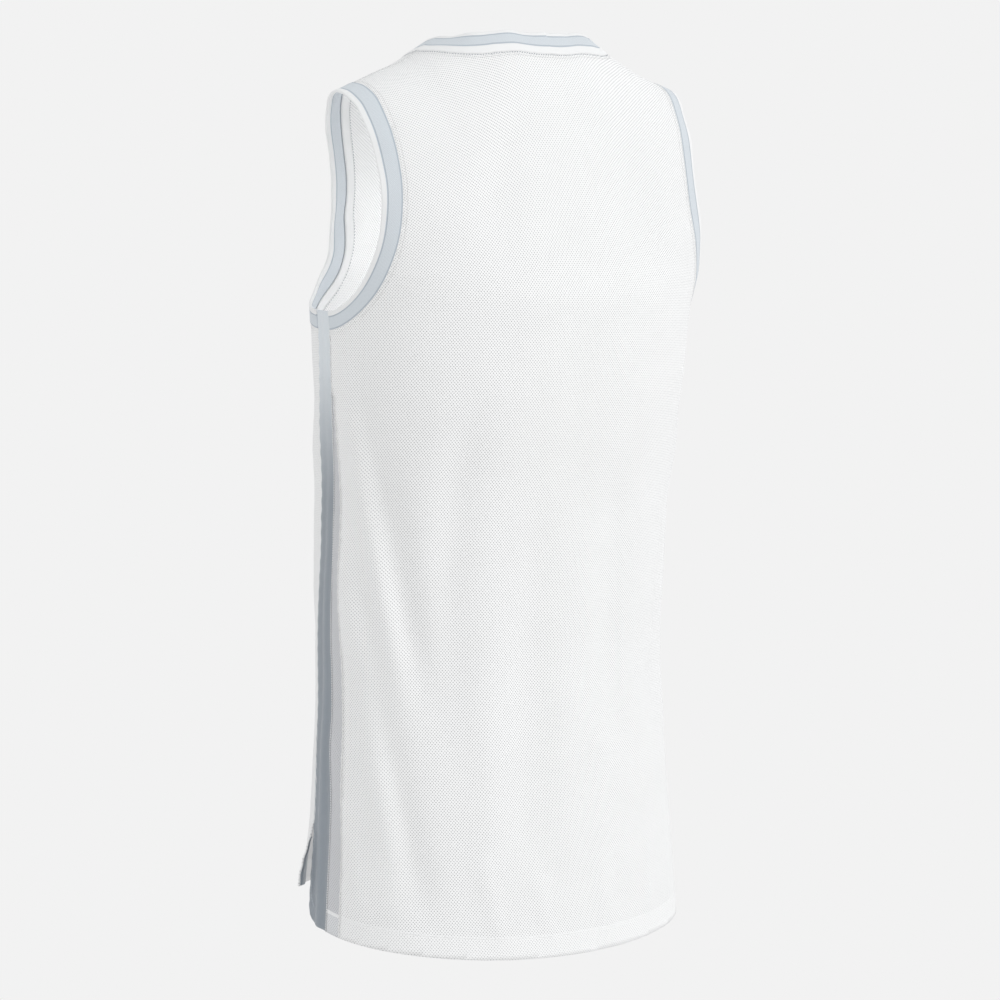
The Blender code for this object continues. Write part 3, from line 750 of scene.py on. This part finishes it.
# %% Threads
def thread_finish(name, colour):
    """Make a sewing thread, a little uneven in colour and relief."""
    net = Network(name, 0.55, 0.25, 0.40)
    where = net.tree.nodes.new("ShaderNodeTexCoord").outputs["Object"]
    uneven = net.noise(where, 2500.0, 1.0)
    pale = net.mix(uneven, [value * 0.84 for value in colour] + [1.0], list(colour) + [1.0])
    return net.finish(pale, uneven, 0.0001)


white_thread = thread_finish("white_thread", (0.90, 0.90, 0.895))
# painted shadow: dark thread standing for the shade in the gaps between stitches
painted_shadow_thread = thread_finish("painted_shadow_thread", (0.33, 0.36, 0.40))
satin_thread = thread_finish("satin_thread", (0.56, 0.61, 0.66))
print("finishes:", len(bpy.data.materials))

# %% [markdown]
# ## The panels
#
# On the real jersey the back and the front are each cut in one piece, with the neck and the
# armholes scooped out. A fine flat grid is laid out in the cut, the squares outside the outline
# are deleted, and the rim that is left is pulled onto the outline. Then every point of the grid
# goes where the cloth of that point lies on the body. Solidify gives the knit its thickness. A
# fine grid is used because soft creases need many small faces to shade well.

# %% Outlines of the panels
MESH_SIZE = 0.0042            # squares of the grid


def panel_outline(face):
    """Return the cut's outline, neck round to hem, and which of its points are corners."""
    neck_across, neck_tape = neck(face, BAND_WIDTH["neck"] - UNDERLAP, 80)
    arm_across, arm_tape = armhole(face, BAND_WIDTH["armhole"] - UNDERLAP, 200)
    neck_tape[-1] = 0.0
    arm_tape[0] = 0.0
    low = HEM[face][1]
    inner = seam("gusset_back", low) if face == "back" else -seam("stripe_front", low)
    tape = np.linspace(arm_tape[-1], hem(face, side_line(face, low)[0] - inner), 260)[1:]
    if face == "back":
        wedge = ease((tape - GUSSET_TOP) / 0.010)
        margin = ((seam("stripe_back", tape) - UNDERLAP) * (1 - wedge)
                  + seam("gusset_back", tape) * wedge)
    else:
        margin = -seam("stripe_front", tape) - UNDERLAP * ease((SLIT_TOP - tape) / 0.015)
    side_across = side_line(face, tape) - margin
    hem_across = np.linspace(side_across[-1], 0.0, 120)[1:]
    half = np.stack([
        np.concatenate([neck_across, arm_across, side_across, hem_across]),
        np.concatenate([neck_tape, arm_tape, tape, hem(face, hem_across)])], axis=1)
    corners = np.cumsum([len(neck_across) - 1, 1, len(arm_across) - 1, len(side_across)])
    outline = np.concatenate([half, half[-2:0:-1] * (-1.0, 1.0)])
    mirrored = (2 * (len(half) - 1) - corners)
    return outline, np.concatenate([corners, mirrored]) % len(outline)


def inside(points, outline):
    """Tell which points lie inside an outline, by counting its crossings on one side."""
    within = np.zeros(len(points), dtype=bool)
    ends = np.roll(outline, -1, axis=0)
    for start, end in zip(outline, ends):
        if start[1] == end[1]:
            continue
        level = (start[1] > points[:, 1]) != (end[1] > points[:, 1])
        cross = start[0] + (points[:, 1] - start[1]) / (end[1] - start[1]) * (end[0] - start[0])
        within ^= level & (points[:, 0] < cross)
    return within


outlines = {face: panel_outline(face) for face in ("back", "front")}
for face, (outline, corners) in outlines.items():
    ends = np.roll(outline, -1, axis=0)


# %% Cut the grid to the outline
def rim_loop(bm):
    """Return the points of the open rim, in order."""
    edges = {edge for edge in bm.edges if edge.is_boundary}
    start = next(iter(edges)).verts[0]
    loop, here, before = [start], start, None
    while True:
        onward = [edge for edge in here.link_edges if edge in edges and edge is not before]
        before = onward[0]
        here = before.other_vert(here)
        if here is start:
            return loop
        loop.append(here)


def pull_to_outline(loop, outline, corners):
    """Slide the rim's points onto the outline, evenly spaced between its corners."""
    walked = np.concatenate([[0.0], np.cumsum(np.linalg.norm(
        np.roll(outline, -1, axis=0) - outline, axis=1))])
    total = walked[-1]
    closed = np.concatenate([outline, outline[:1]])
    rim = np.array([point.co.xy for point in loop])
    near = np.array([np.argmin(np.linalg.norm(outline - point, axis=1)) for point in rim])
    at = walked[near]
    if np.median(np.diff(at)) < 0:
        loop.reverse()
        rim, at = rim[::-1], at[::-1]
    turn = int(np.argmin(at))
    loop[:] = loop[turn:] + loop[:turn]
    at = np.maximum.accumulate(np.roll(at, -turn))
    fixed = {}
    for corner in corners:
        distance = np.linalg.norm(np.roll(rim, -turn, axis=0) - outline[corner], axis=1)
        fixed[int(np.argmin(distance))] = walked[corner]
    for number, place in fixed.items():
        at[number] = place
    free = np.array([number not in fixed for number in range(len(at))])
    for _ in range(60):
        wrapped = np.concatenate([[at[-1] - total], at, [at[0] + total]])
        middle = (wrapped[:-2] + wrapped[2:]) / 2
        at = np.where(free, middle, at)
    at = at % total
    for point, across, tape in zip(loop, np.interp(at, walked, closed[:, 0]),
                                   np.interp(at, walked, closed[:, 1])):
        point.co.xy = (across, tape)


def cut_panel(face):
    """Cut one flat panel out of a grid."""
    outline, corners = outlines[face]
    low, high = outline.min(axis=0) - 0.01, outline.max(axis=0) + 0.01
    count = np.ceil((high - low) / MESH_SIZE).astype(int)
    bm = bmesh.new()
    bmesh.ops.create_grid(bm, x_segments=int(count[0]), y_segments=int(count[1]), size=0.5)
    bmesh.ops.scale(bm, verts=bm.verts, vec=(high[0] - low[0], high[1] - low[1], 1.0))
    bmesh.ops.translate(bm, verts=bm.verts, vec=(*((low + high) / 2), 0.0))
    centres = np.array([square.calc_center_median().xy for square in bm.faces])
    outside = ~inside(centres, outline)
    bmesh.ops.delete(bm, geom=[square for square, out in zip(bm.faces, outside) if out],
                     context="FACES")
    while True:
        loose = [square for square in bm.faces
                 if sum(edge.is_boundary for edge in square.edges) > 2]
        if not loose:
            break
        bmesh.ops.delete(bm, geom=loose, context="FACES")
    rim = rim_loop(bm)
    pull_to_outline(rim, outline, corners)
    ring = set(rim)
    near = set(ring)
    for _ in range(4):
        near |= {edge.other_vert(point) for point in near for edge in point.link_edges}
    movable = list(near - ring)
    for _ in range(12):
        bmesh.ops.smooth_vert(bm, verts=movable, factor=0.5, use_axis_x=True, use_axis_y=True)
    return bm


flat_panels = {face: cut_panel(face) for face in ("back", "front")}
print({face: len(bm.faces) for face, bm in flat_panels.items()}, "squares")


# %% Lay the panels on the body
def set_map(bm, flat):
    """Give every corner of every face its place in the cloth, in metres."""
    layer = bm.loops.layers.uv.new("cloth")
    for square in bm.faces:
        for corner in square.loops:
            corner[layer].uv = flat[corner.vert.index]


def new_piece(name, bm, finish):
    """Turn a bmesh into a smooth piece that rides on the jersey."""
    mesh = bpy.data.meshes.new(name)
    bm.to_mesh(mesh)
    bm.free()
    mesh.materials.append(finish)
    for square in mesh.polygons:
        square.use_smooth = True
    piece = bpy.data.objects.new(name, mesh)
    bpy.context.scene.collection.objects.link(piece)
    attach(piece, "root")
    return piece


def thicken(piece, thickness, round_edge=0.0):
    """Give a sheet its thickness, half to each side, and round its rim."""
    solid = piece.modifiers.new("thickness", "SOLIDIFY")
    solid.thickness = thickness
    solid.offset = 0.0
    if round_edge:
        bevel = piece.modifiers.new("round_edge", "BEVEL")
        bevel.width = round_edge
        bevel.segments = 2
        bevel.limit_method = "ANGLE"
        bevel.angle_limit = math.radians(50)


def store(piece, name, values):
    """Store one number on every point of a piece."""
    layer = piece.data.attributes.new(name, "FLOAT", "POINT")
    layer.data.foreach_set("value", np.asarray(values, dtype=np.float32))


def rim_distance(face, flat):
    """Return how far each point is from the neck and the armholes of the cut."""
    outline = outlines[face][0]
    rim = outline[outline[:, 1] < UNDERARM]
    return np.array([np.linalg.norm(rim - point, axis=1).min() for point in flat])


FAR = 0.05                    # stored on points that no edge is near
ROUND_EDGE = 0.0008           # how round a band's edge is
panels = {}
for face, bm in flat_panels.items():
    bm.verts.index_update()
    flat = np.array([point.co.xy for point in bm.verts])
    set_map(bm, flat)
    worn = form(face, flat[:, 0], flat[:, 1], flare=face == "front")
    for point, place in zip(bm.verts, worn):
        point.co = place
    if face == "front":
        bmesh.ops.reverse_faces(bm, faces=bm.faces)
    panels[face] = new_piece(face + "_mesh_panel", bm, white_mesh)
    store(panels[face], "hem_far", hem(face, flat[:, 0]) - flat[:, 1])
    store(panels[face], "rim_far", rim_distance(face, flat))
    store(panels[face], "edge_far", np.full(len(flat), FAR))
    thicken(panels[face], CLOTH)
    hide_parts(face + "_panel")
    print(panels[face].name, len(panels[face].data.polygons), "faces")

# %% [markdown]
# ## Strips of cloth
#
# Bands, side stripes and wedges are long strips. Each starts as a flat grid with as many rows
# and columns as the strip has stations, and each point of the grid then takes the place that its
# row and column have on the body. The strip's own map runs along it and across it in metres.


# %% Helper for strips
def strip_piece(name, places, flat, finish, slot, ring=False, **numbers):
    """Make a strip from a grid: rows along it, columns across it, with numbers on its points."""
    rows, columns = places.shape[:2]
    bm = bmesh.new()
    bmesh.ops.create_grid(bm, x_segments=columns - 1, y_segments=rows - 1, size=0.5)
    bm.verts.index_update()
    own = np.array([point.co.xy for point in bm.verts]) + 0.5
    column_of = np.rint(own[:, 0] * (columns - 1)).astype(int)
    row_of = np.rint(own[:, 1] * (rows - 1)).astype(int)
    set_map(bm, flat[row_of, column_of])
    for point, row, step in zip(bm.verts, row_of, column_of):
        point.co = places[row, step]
    if ring:
        bmesh.ops.remove_doubles(bm, verts=bm.verts, dist=1e-6)
    piece = new_piece(name, bm, finish)
    for number, values in numbers.items():
        store(piece, number, values[row_of, column_of])
    return piece


def face_outwards(piece, centre):
    """Turn a strip's faces away from a point inside the jersey."""
    bm = bmesh.new()
    bm.from_mesh(piece.data)
    away = sum((square.calc_center_median() - Vector(centre)).dot(square.normal)
               for square in bm.faces)
    if away < 0:
        bmesh.ops.reverse_faces(bm, faces=bm.faces)
    bm.to_mesh(piece.data)
    bm.free()


def walked_along(places):
    """Return how far each row of a strip is along its middle."""
    middle = places[:, places.shape[1] // 2]
    return np.concatenate([[0.0], np.cumsum(np.linalg.norm(np.diff(middle, axis=0), axis=1))])


# %% [markdown]
# ## Bands
#
# The real bands are strips of twill, folded double and sewn round the neck and the armholes.
# They stand a little off the mesh. Their free edge waves slightly, because nothing holds it.

# %% Place the bands
BAND_COLUMNS = 15
RIPPLE = 0.0007               # how far a band's free edge waves
STATION = 0.0031              # about one station along a band, for the length of its waves


def band_rows(edge, face, stations, side, lift=BAND_LIFT, reach=None, columns=BAND_COLUMNS):
    """Return one face's half of a band: its places on the body and how far across it is."""
    width = BAND_WIDTH[edge.__name__]
    spread = np.linspace(*(reach or (0.0, width)), columns)
    places = []
    for inset in spread:
        across, tape = edge(face, inset, stations)
        out = outward(face, side * across, tape)
        wave = RIPPLE * (1 - min(max(inset, 0.0) / width, 1.0)) ** 2
        along = np.arange(stations) * STATION
        ripple = wave * (np.sin(along * 95.0 + side) + np.sin(along * 41.0 + 2.0))
        places.append(form(face, side * across, tape) + out * (lift + ripple)[:, None])
    return np.stack(places, axis=1), spread


def armhole_rows(side, **sizes):
    """Return a whole armhole's rows: up the front, over the shoulder and down the back."""
    front, spread = band_rows(armhole, "front", 90, side, **sizes)
    back = band_rows(armhole, "back", 90, side, **sizes)[0]
    return np.concatenate([front[:0:-1], back]), spread


def neck_rows(**sizes):
    """Return the neck's rows, once round, starting and ending at the centre of the back."""
    runs = []
    for face, side in (("back", 1), ("front", 1), ("front", -1), ("back", -1)):
        rows, spread = band_rows(neck, face, 70, side, **sizes)
        towards_shoulder = (face == "back") == (side > 0)
        runs.append(rows[:-1] if towards_shoulder else rows[::-1][:-1])
    rows = np.concatenate(runs)
    return np.concatenate([rows, rows[:1]]), spread


def strip_map(places, spread):
    """Lay out a strip's map: along it and across it."""
    along = walked_along(places)
    return np.stack(np.broadcast_arrays(along[:, None], np.asarray(spread)[None, :]), axis=2)


BODY_CENTRE = (0.0, 0.0, -0.25)
for word, side in (("left", 1), ("right", -1)):
    places, spread = armhole_rows(side)
    band = strip_piece(word + "_armhole_twill_band", places, strip_map(places, spread),
                       armhole_knit, "rib_band")
    face_outwards(band, BODY_CENTRE)
    thicken(band, BAND_CLOTH, ROUND_EDGE)
    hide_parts(word + "_armhole_band")
    print(band.name, round(float(walked_along(places)[-1]), 3), "m long")

places, spread = neck_rows()
bands = {"neck": strip_piece("neck_twill_band", places, strip_map(places, spread), neck_knit,
                             "rib_band", ring=True)}
face_outwards(bands["neck"], BODY_CENTRE)
thicken(bands["neck"], BAND_CLOTH, ROUND_EDGE)
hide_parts("neck_band")
print(bands["neck"].name, round(float(walked_along(places)[-1]), 3), "m round")

# %% [markdown]
# ## Side stripes and mesh wedges
#
# Between the front and the back runs a satin stripe 22 to 32 mm wide. A narrow mesh wedge
# widens behind it towards the hem, so the jersey can spread over the hips. The side slit opens
# along the stripe's front edge, and the stripe's front corner is rounded at the hem. Long
# upright ripples in the satin catch the light.

# %% Place the stripes and the wedges
STRIPE_CLOTH = 0.0018
STRIPE_EDGE = 0.0006          # how round the stripe's edges are
STRIPE_COLUMNS = 11
WEDGE_COLUMNS = 7
WEDGE_UNDER = 0.0015          # how far the wedge runs under the stripe
WEDGE_OVER = 0.0004           # and over the back panel's edge
RIPPLE_TOP = 0.0004           # how far the satin ripples at the top
RIPPLE_MORE = 0.0011          # and how much more towards the hem
RIPPLES = 1.55                # ripples across the stripe


def stripe_wave(tape, columns=STRIPE_COLUMNS):
    """Return how far the satin stands off: long upright ripples that grow towards the hem."""
    share = np.linspace(0.0, 1.0, columns)
    size = RIPPLE_TOP + RIPPLE_MORE * ease((tape - 0.36) / 0.30)
    drift = 0.16 * np.sin(tape * 11.0) + 0.05 * np.sin(tape * 29.0)
    return size * np.sin(math.pi * share) ** 0.6 * np.cos(2 * math.pi * (RIPPLES * share + drift))


def side_rows(side, places_at, tops, ends, rows, lift=0.0, wave=None):
    """Return rows down the side from distances behind the side line, and their map."""
    down = np.linspace(0.0, 1.0, rows)[:, None]
    tape = tops + (ends - tops) * down
    behind = places_at(tape)
    across = side_line("back", tape.ravel()).reshape(tape.shape) - behind
    off = lift + (wave(tape)[..., None] if wave else 0.0)
    places = form("back", side * across, tape) + off * outward("back", side * across, tape)
    return places, np.stack([behind, tape], axis=2)


def stripe_places(tape, columns=STRIPE_COLUMNS):
    """Spread a stripe's columns between its two seams."""
    share = np.linspace(0.0, 1.0, columns)
    start = seam("stripe_front", tape)
    return start + share * (seam("stripe_back", tape) - start)


def hem_behind(behind):
    """Return the back hem's tape distance at distances behind the side line."""
    return hem("back", side_line("back", HEM["back"][1])[0] - behind)


def stripe_ends(columns=STRIPE_COLUMNS):
    """Return where each column of a stripe starts, on the armhole, and ends, at the hem."""
    behind = stripe_places(np.full((1, columns), UNDERARM))[0]
    tops = np.empty(columns)
    for i, place in enumerate(behind):
        face = "back" if place >= 0 else "front"
        reach = side_line(face, UNDERARM)[0] - ARMHOLE_MIDDLE[face]
        tops[i] = (ARMHOLE_TURN[face] + (UNDERARM - ARMHOLE_TURN[face])
                   * math.sqrt(1 - (place / reach) ** 2))
    low = stripe_places(np.full((1, columns), HEM["back"][1]))[0]
    left = np.clip(CORNER - (low - low[0]), 0.0, CORNER)
    return tops, hem_behind(low) - (CORNER - np.sqrt(CORNER ** 2 - left ** 2))


def wedge_places(tape, columns=WEDGE_COLUMNS):
    """Spread a wedge's columns between the stripe and the back."""
    share = np.linspace(0.0, 1.0, columns)
    start = seam("stripe_back", tape) - WEDGE_UNDER
    return start + share * (seam("gusset_back", tape) + WEDGE_OVER - start)


WEDGE_SUNK = 0.0003           # the wedge lies this far below the stripe and the back

for word, side in (("left", 1), ("right", -1)):
    tops, ends = stripe_ends()
    places, flat = side_rows(side, stripe_places, tops, ends, 190, wave=stripe_wave)
    stripe = strip_piece(word + "_satin_stripe", places, flat, side_satin, "stripe_grey")
    face_outwards(stripe, BODY_CENTRE)
    thicken(stripe, STRIPE_CLOTH, STRIPE_EDGE)
    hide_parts(word + "_side_stripe")
    print(stripe.name, round(float(walked_along(places)[-1]), 3), "m long")

    ends = hem_behind(wedge_places(np.full((1, WEDGE_COLUMNS), HEM["back"][1]))[0])
    places, flat = side_rows(side, wedge_places, np.full(WEDGE_COLUMNS, GUSSET_TOP), ends, 170,
                             lift=-WEDGE_SUNK)
    behind, tape = flat[..., 0], flat[..., 1]
    wedge = strip_piece(word + "_mesh_wedge", places, flat, wedge_painted_shade_mesh, "mesh_white",
                        hem_far=ends[None, :] - tape, rim_far=np.full(tape.shape, FAR),
                        edge_far=np.minimum(behind - behind[:, :1], behind[:, -1:] - behind))
    face_outwards(wedge, BODY_CENTRE)
    thicken(wedge, CLOTH)
    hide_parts(word + "_side_gusset")
    print(wedge.name, round(float(walked_along(places)[-1]), 3), "m long")

# %% [markdown]
# ## Seam tapes and slit facings
#
# Inside the jersey a white tape covers the seam of each band, and the front's slit edges are
# faced with the stripe's satin, so the flap is grey where it turns. They are strips like the
# bands, laid a cloth's thickness further in.

# %% Inner tapes
TAPE_WIDTH = 0.0095
TAPE_CLOTH = 0.0008
TAPE_COLUMNS = 5
TAPE_OVER = 0.001             # how far the tape covers the band's sewn edge
INSIDE = -(CLOTH / 2 + TAPE_CLOTH / 2 + 0.0003)
tape_knit = band_knit("seam_tape")


def tape_reach(edge):
    """Return where a seam tape starts and ends, across from the free edge of its band."""
    start = BAND_WIDTH[edge] - TAPE_OVER
    return start, start + TAPE_WIDTH


for word, side in (("left", 1), ("right", -1)):
    places, spread = armhole_rows(side, lift=INSIDE, reach=tape_reach("armhole"),
                                  columns=TAPE_COLUMNS)
    seam_tape = strip_piece(word + "_armhole_seam_tape", places, strip_map(places, spread),
                            tape_knit, "mesh_white")
    face_outwards(seam_tape, BODY_CENTRE)
    thicken(seam_tape, TAPE_CLOTH)
places, spread = neck_rows(lift=INSIDE, reach=tape_reach("neck"), columns=TAPE_COLUMNS)
seam_tape = strip_piece("neck_seam_tape", places, strip_map(places, spread), tape_knit,
                        "mesh_white", ring=True)
face_outwards(seam_tape, BODY_CENTRE)
thicken(seam_tape, TAPE_CLOTH)
print("seam tapes", round(TAPE_WIDTH * 1000, 1), "mm wide")

# %% Slit facings
FACING_WIDTH = 0.024
FACING_BELOW = 0.004          # how far under the slit's top the facing starts
FACING_IN = 0.0012            # how far its edge stays behind the panel's edge
FACING_SHORT = 0.0008         # how much shorter it is than the panel


def facing_rows(side):
    """Return the rows of a slit facing on the inside of the front panel's edge."""
    rows, columns = 40, 7
    low = HEM["front"][1]
    down = np.linspace(0.0, 1.0, rows)[:, None]
    share = np.linspace(0.0, 1.0, columns)[None, :]
    edge_low = side_line("front", low)[0] + seam("stripe_front", low)
    ends = hem("front", edge_low - share * FACING_WIDTH) - FACING_SHORT
    top = SLIT_TOP + FACING_BELOW
    tape = top + (ends - top) * down
    edge = side_line("front", tape.ravel()).reshape(tape.shape) + seam("stripe_front", tape)
    across = edge - FACING_IN - share * FACING_WIDTH * ease(down * 4.0)
    out = outward("front", side * across, tape, flare=True)
    places = form("front", side * across, tape, flare=True) + INSIDE * out
    return places, np.stack([np.broadcast_to(share * FACING_WIDTH, tape.shape), tape], axis=2)


for word, side in (("left", 1), ("right", -1)):
    places, flat = facing_rows(side)
    facing = strip_piece(word + "_slit_facing", places, flat, side_satin, "stripe_grey")
    face_outwards(facing, BODY_CENTRE)
    thicken(facing, TAPE_CLOTH)
    print(facing.name, "placed")

# %% [markdown]
# ## Threads
#
# Stitches are what the eye takes for scale, so they are real shapes here: small flattened beads
# of thread, one for each stitch, in rows that follow the seams. Each bead has few faces, because
# there are thousands. A row is a line in the cut, laid on the body like everything else.


# %% Rows of stitches
def line_on_body(face, across, tape, lift, flare=False):
    """Lay a line of the cut on the body, with the direction straight out along it."""
    out = outward(face, across, tape, flare)
    return form(face, across, tape, flare) + out * lift, out


def bead_mesh():
    """Return one bead of thread as a mesh: a round bead of few faces, one unit across."""
    bm = bmesh.new()
    bmesh.ops.create_uvsphere(bm, u_segments=6, v_segments=4, radius=0.5)
    mesh = bpy.data.meshes.new("bead")
    bm.to_mesh(mesh)
    bm.free()
    return mesh


def unit(vectors):
    """Return vectors at length one."""
    return vectors / np.linalg.norm(vectors, axis=1, keepdims=True)


def bead_frames(points, out, pitch):
    """Return where a line's stitches sit, and each one's along, beside and up directions."""
    steps = np.linalg.norm(np.diff(points, axis=0), axis=1)
    walked = np.concatenate([[0.0], np.cumsum(steps)])
    place = np.arange(pitch / 2, walked[-1], pitch)

    def on_line(values, where):
        return np.stack([np.interp(where, walked, values[:, k]) for k in range(3)], axis=1)

    along = unit(on_line(points, place + pitch * 0.3) - on_line(points, place - pitch * 0.3))
    beside = unit(np.cross(on_line(out, place), along))
    return on_line(points, place), along, beside, np.cross(along, beside)


def stitches(name, lines, pitch, size, finish):
    """Sew lines: one bead of thread for each stitch, turned along its line."""
    bead = bead_mesh()
    shape = np.array([vertex.co for vertex in bead.vertices])
    rows = [bead_frames(points, out, pitch) for points, out in lines]
    here, along, beside, up = [np.concatenate(part) for part in zip(*rows)]
    bm = bmesh.new()
    for _ in range(len(here)):
        bm.from_mesh(bead)
    places = (here[:, None] + shape[None, :, 0:1] * size[0] * along[:, None]
              + shape[None, :, 1:2] * size[1] * beside[:, None]
              + shape[None, :, 2:3] * size[2] * up[:, None]).reshape(-1, 3)
    for vertex, place in zip(bm.verts, places):
        vertex.co = place
    piece = new_piece(name, bm, finish)
    print(name, len(here), "stitches,", len(piece.data.polygons), "faces")
    return piece


def neck_line(outset, lift):
    """Return a line round the neck, in four runs."""
    lines = []
    for face in ("back", "front"):
        across, tape = neck(face, outset, 90)
        lines += [line_on_body(face, side * across, tape, lift) for side in (1, -1)]
    return lines


def armhole_line(side, inset, lift):
    """Return a line round one armhole, in two runs."""
    lines = []
    for face in ("back", "front"):
        across, tape = armhole(face, inset, 150)
        lines.append(line_on_body(face, side * across, tape, lift))
    return lines


def side_seam_line(name, side, top, lift):
    """Return a line down one of the side seams, to the hem."""
    bottom = hem_behind(seam(name, HEM["back"][1]))
    tape = np.linspace(top, bottom, 200)
    return line_on_body("back", side * (side_line("back", tape) - seam(name, tape)), tape, lift)


def hem_line(face, lift):
    """Return a line along a hem, at the height where the hem is turned up."""
    low = HEM[face][1]
    inner = seam("gusset_back", low) if face == "back" else -seam("stripe_front", low)
    reach = side_line(face, low)[0] - inner - 0.001
    across = np.linspace(-reach, reach, 260)
    return line_on_body(face, across, hem(face, across) - HEM_DEPTH, lift, face == "front")


# %% Sew the seams
ON_MESH = CLOTH / 2 + 0.0001  # where thread lies on the outside of the mesh
STRIPE_SEAM_TOP = 0.292       # tape: where the seam behind the stripe starts, under the band
NECK_STITCH = 0.0007          # how far past the neck band its seam's stitches are
NECK_COVER = 0.0030           # how far past it the second row is
ARMHOLE_COVER = 0.0034        # how far past an armhole band its row is

# the neck seam's dark beads are painted shadow between the stitches
stitches("stitches_neck", neck_line(BAND_WIDTH["neck"] + NECK_STITCH, ON_MESH),
         0.0024, (0.0016, 0.0007, 0.0004), painted_shadow_thread)

cover = neck_line(BAND_WIDTH["neck"] + NECK_COVER, ON_MESH)
overlock = []
upright = []
for side in (1, -1):
    cover += armhole_line(side, BAND_WIDTH["armhole"] + ARMHOLE_COVER, ON_MESH)
    overlock += armhole_line(side, tape_reach("armhole")[1], INSIDE - TAPE_CLOTH / 2)
    upright.append(side_seam_line("gusset_back", side, GUSSET_TOP, ON_MESH))
    upright.append(side_seam_line("stripe_back", side, STRIPE_SEAM_TOP, STRIPE_CLOTH / 2))
stitches("stitches_bands", cover, 0.0030, (0.0025, 0.0006, 0.0004), white_thread)
# the seam tapes' dark beads are painted shadow at the overlock's edge
stitches("stitches_seam_tapes", overlock, 0.0028, (0.0017, 0.0008, 0.0005), painted_shadow_thread)
stitches("stitches_side_seams", upright, 0.0021, (0.0019, 0.0011, 0.0007), white_thread)
stitches("stitches_hems", [hem_line("back", ON_MESH), hem_line("front", ON_MESH)],
         0.0030, (0.0024, 0.0005, 0.0003), white_thread)


# %% Topstitch beside the slits
STITCH_INSET = 0.0055         # from the slit to its topstitch
STITCH_CORNER = 0.016         # how widely the stitch turns at the hem
STITCH_LIFT = 0.0008          # it rides on the satin's ripples


def slit_topstitch(side):
    """Return the line beside the slit: down along it, then round to the hem stitch."""
    bottom = HEM["back"][1] - HEM_DEPTH + 0.003
    straight = np.linspace(SLIT_TOP, bottom - STITCH_CORNER, 60)
    turn = np.linspace(0.0, math.pi / 2, 40)[1:]
    tape = np.concatenate([straight, bottom - STITCH_CORNER * (1 - np.sin(turn))])
    aside = np.concatenate([np.zeros(60), 0.9 * STITCH_CORNER * (1 - np.cos(turn))])
    across = side_line("back", tape) - (seam("stripe_front", tape) + STITCH_INSET + aside)
    return line_on_body("back", side * across, tape, STRIPE_CLOTH / 2 + STITCH_LIFT)


stitches("stitches_slits", [slit_topstitch(1), slit_topstitch(-1)],
         0.0028, (0.0024, 0.0006, 0.0005), satin_thread)

# %% Shoulder seams
SHOULDER_ROWS = (0.0035, 0.0075)     # tape: two rows, just behind the shoulder seam
CLEAR = 0.002                 # how far the rows stop before the bands

shoulder = np.linspace(NECK_HALF + BAND_WIDTH["neck"] + CLEAR,
                       ARMHOLE_TOP - BAND_WIDTH["armhole"] - CLEAR, 60)
shoulder_lines = [line_on_body("back", side * shoulder, np.full(60, down), ON_MESH)
                  for side in (1, -1) for down in SHOULDER_ROWS]
stitches("stitches_shoulders", shoulder_lines, 0.0030, (0.0024, 0.0006, 0.0004), white_thread)

# %% [markdown]
# ## All pieces placed

print("all pieces placed")
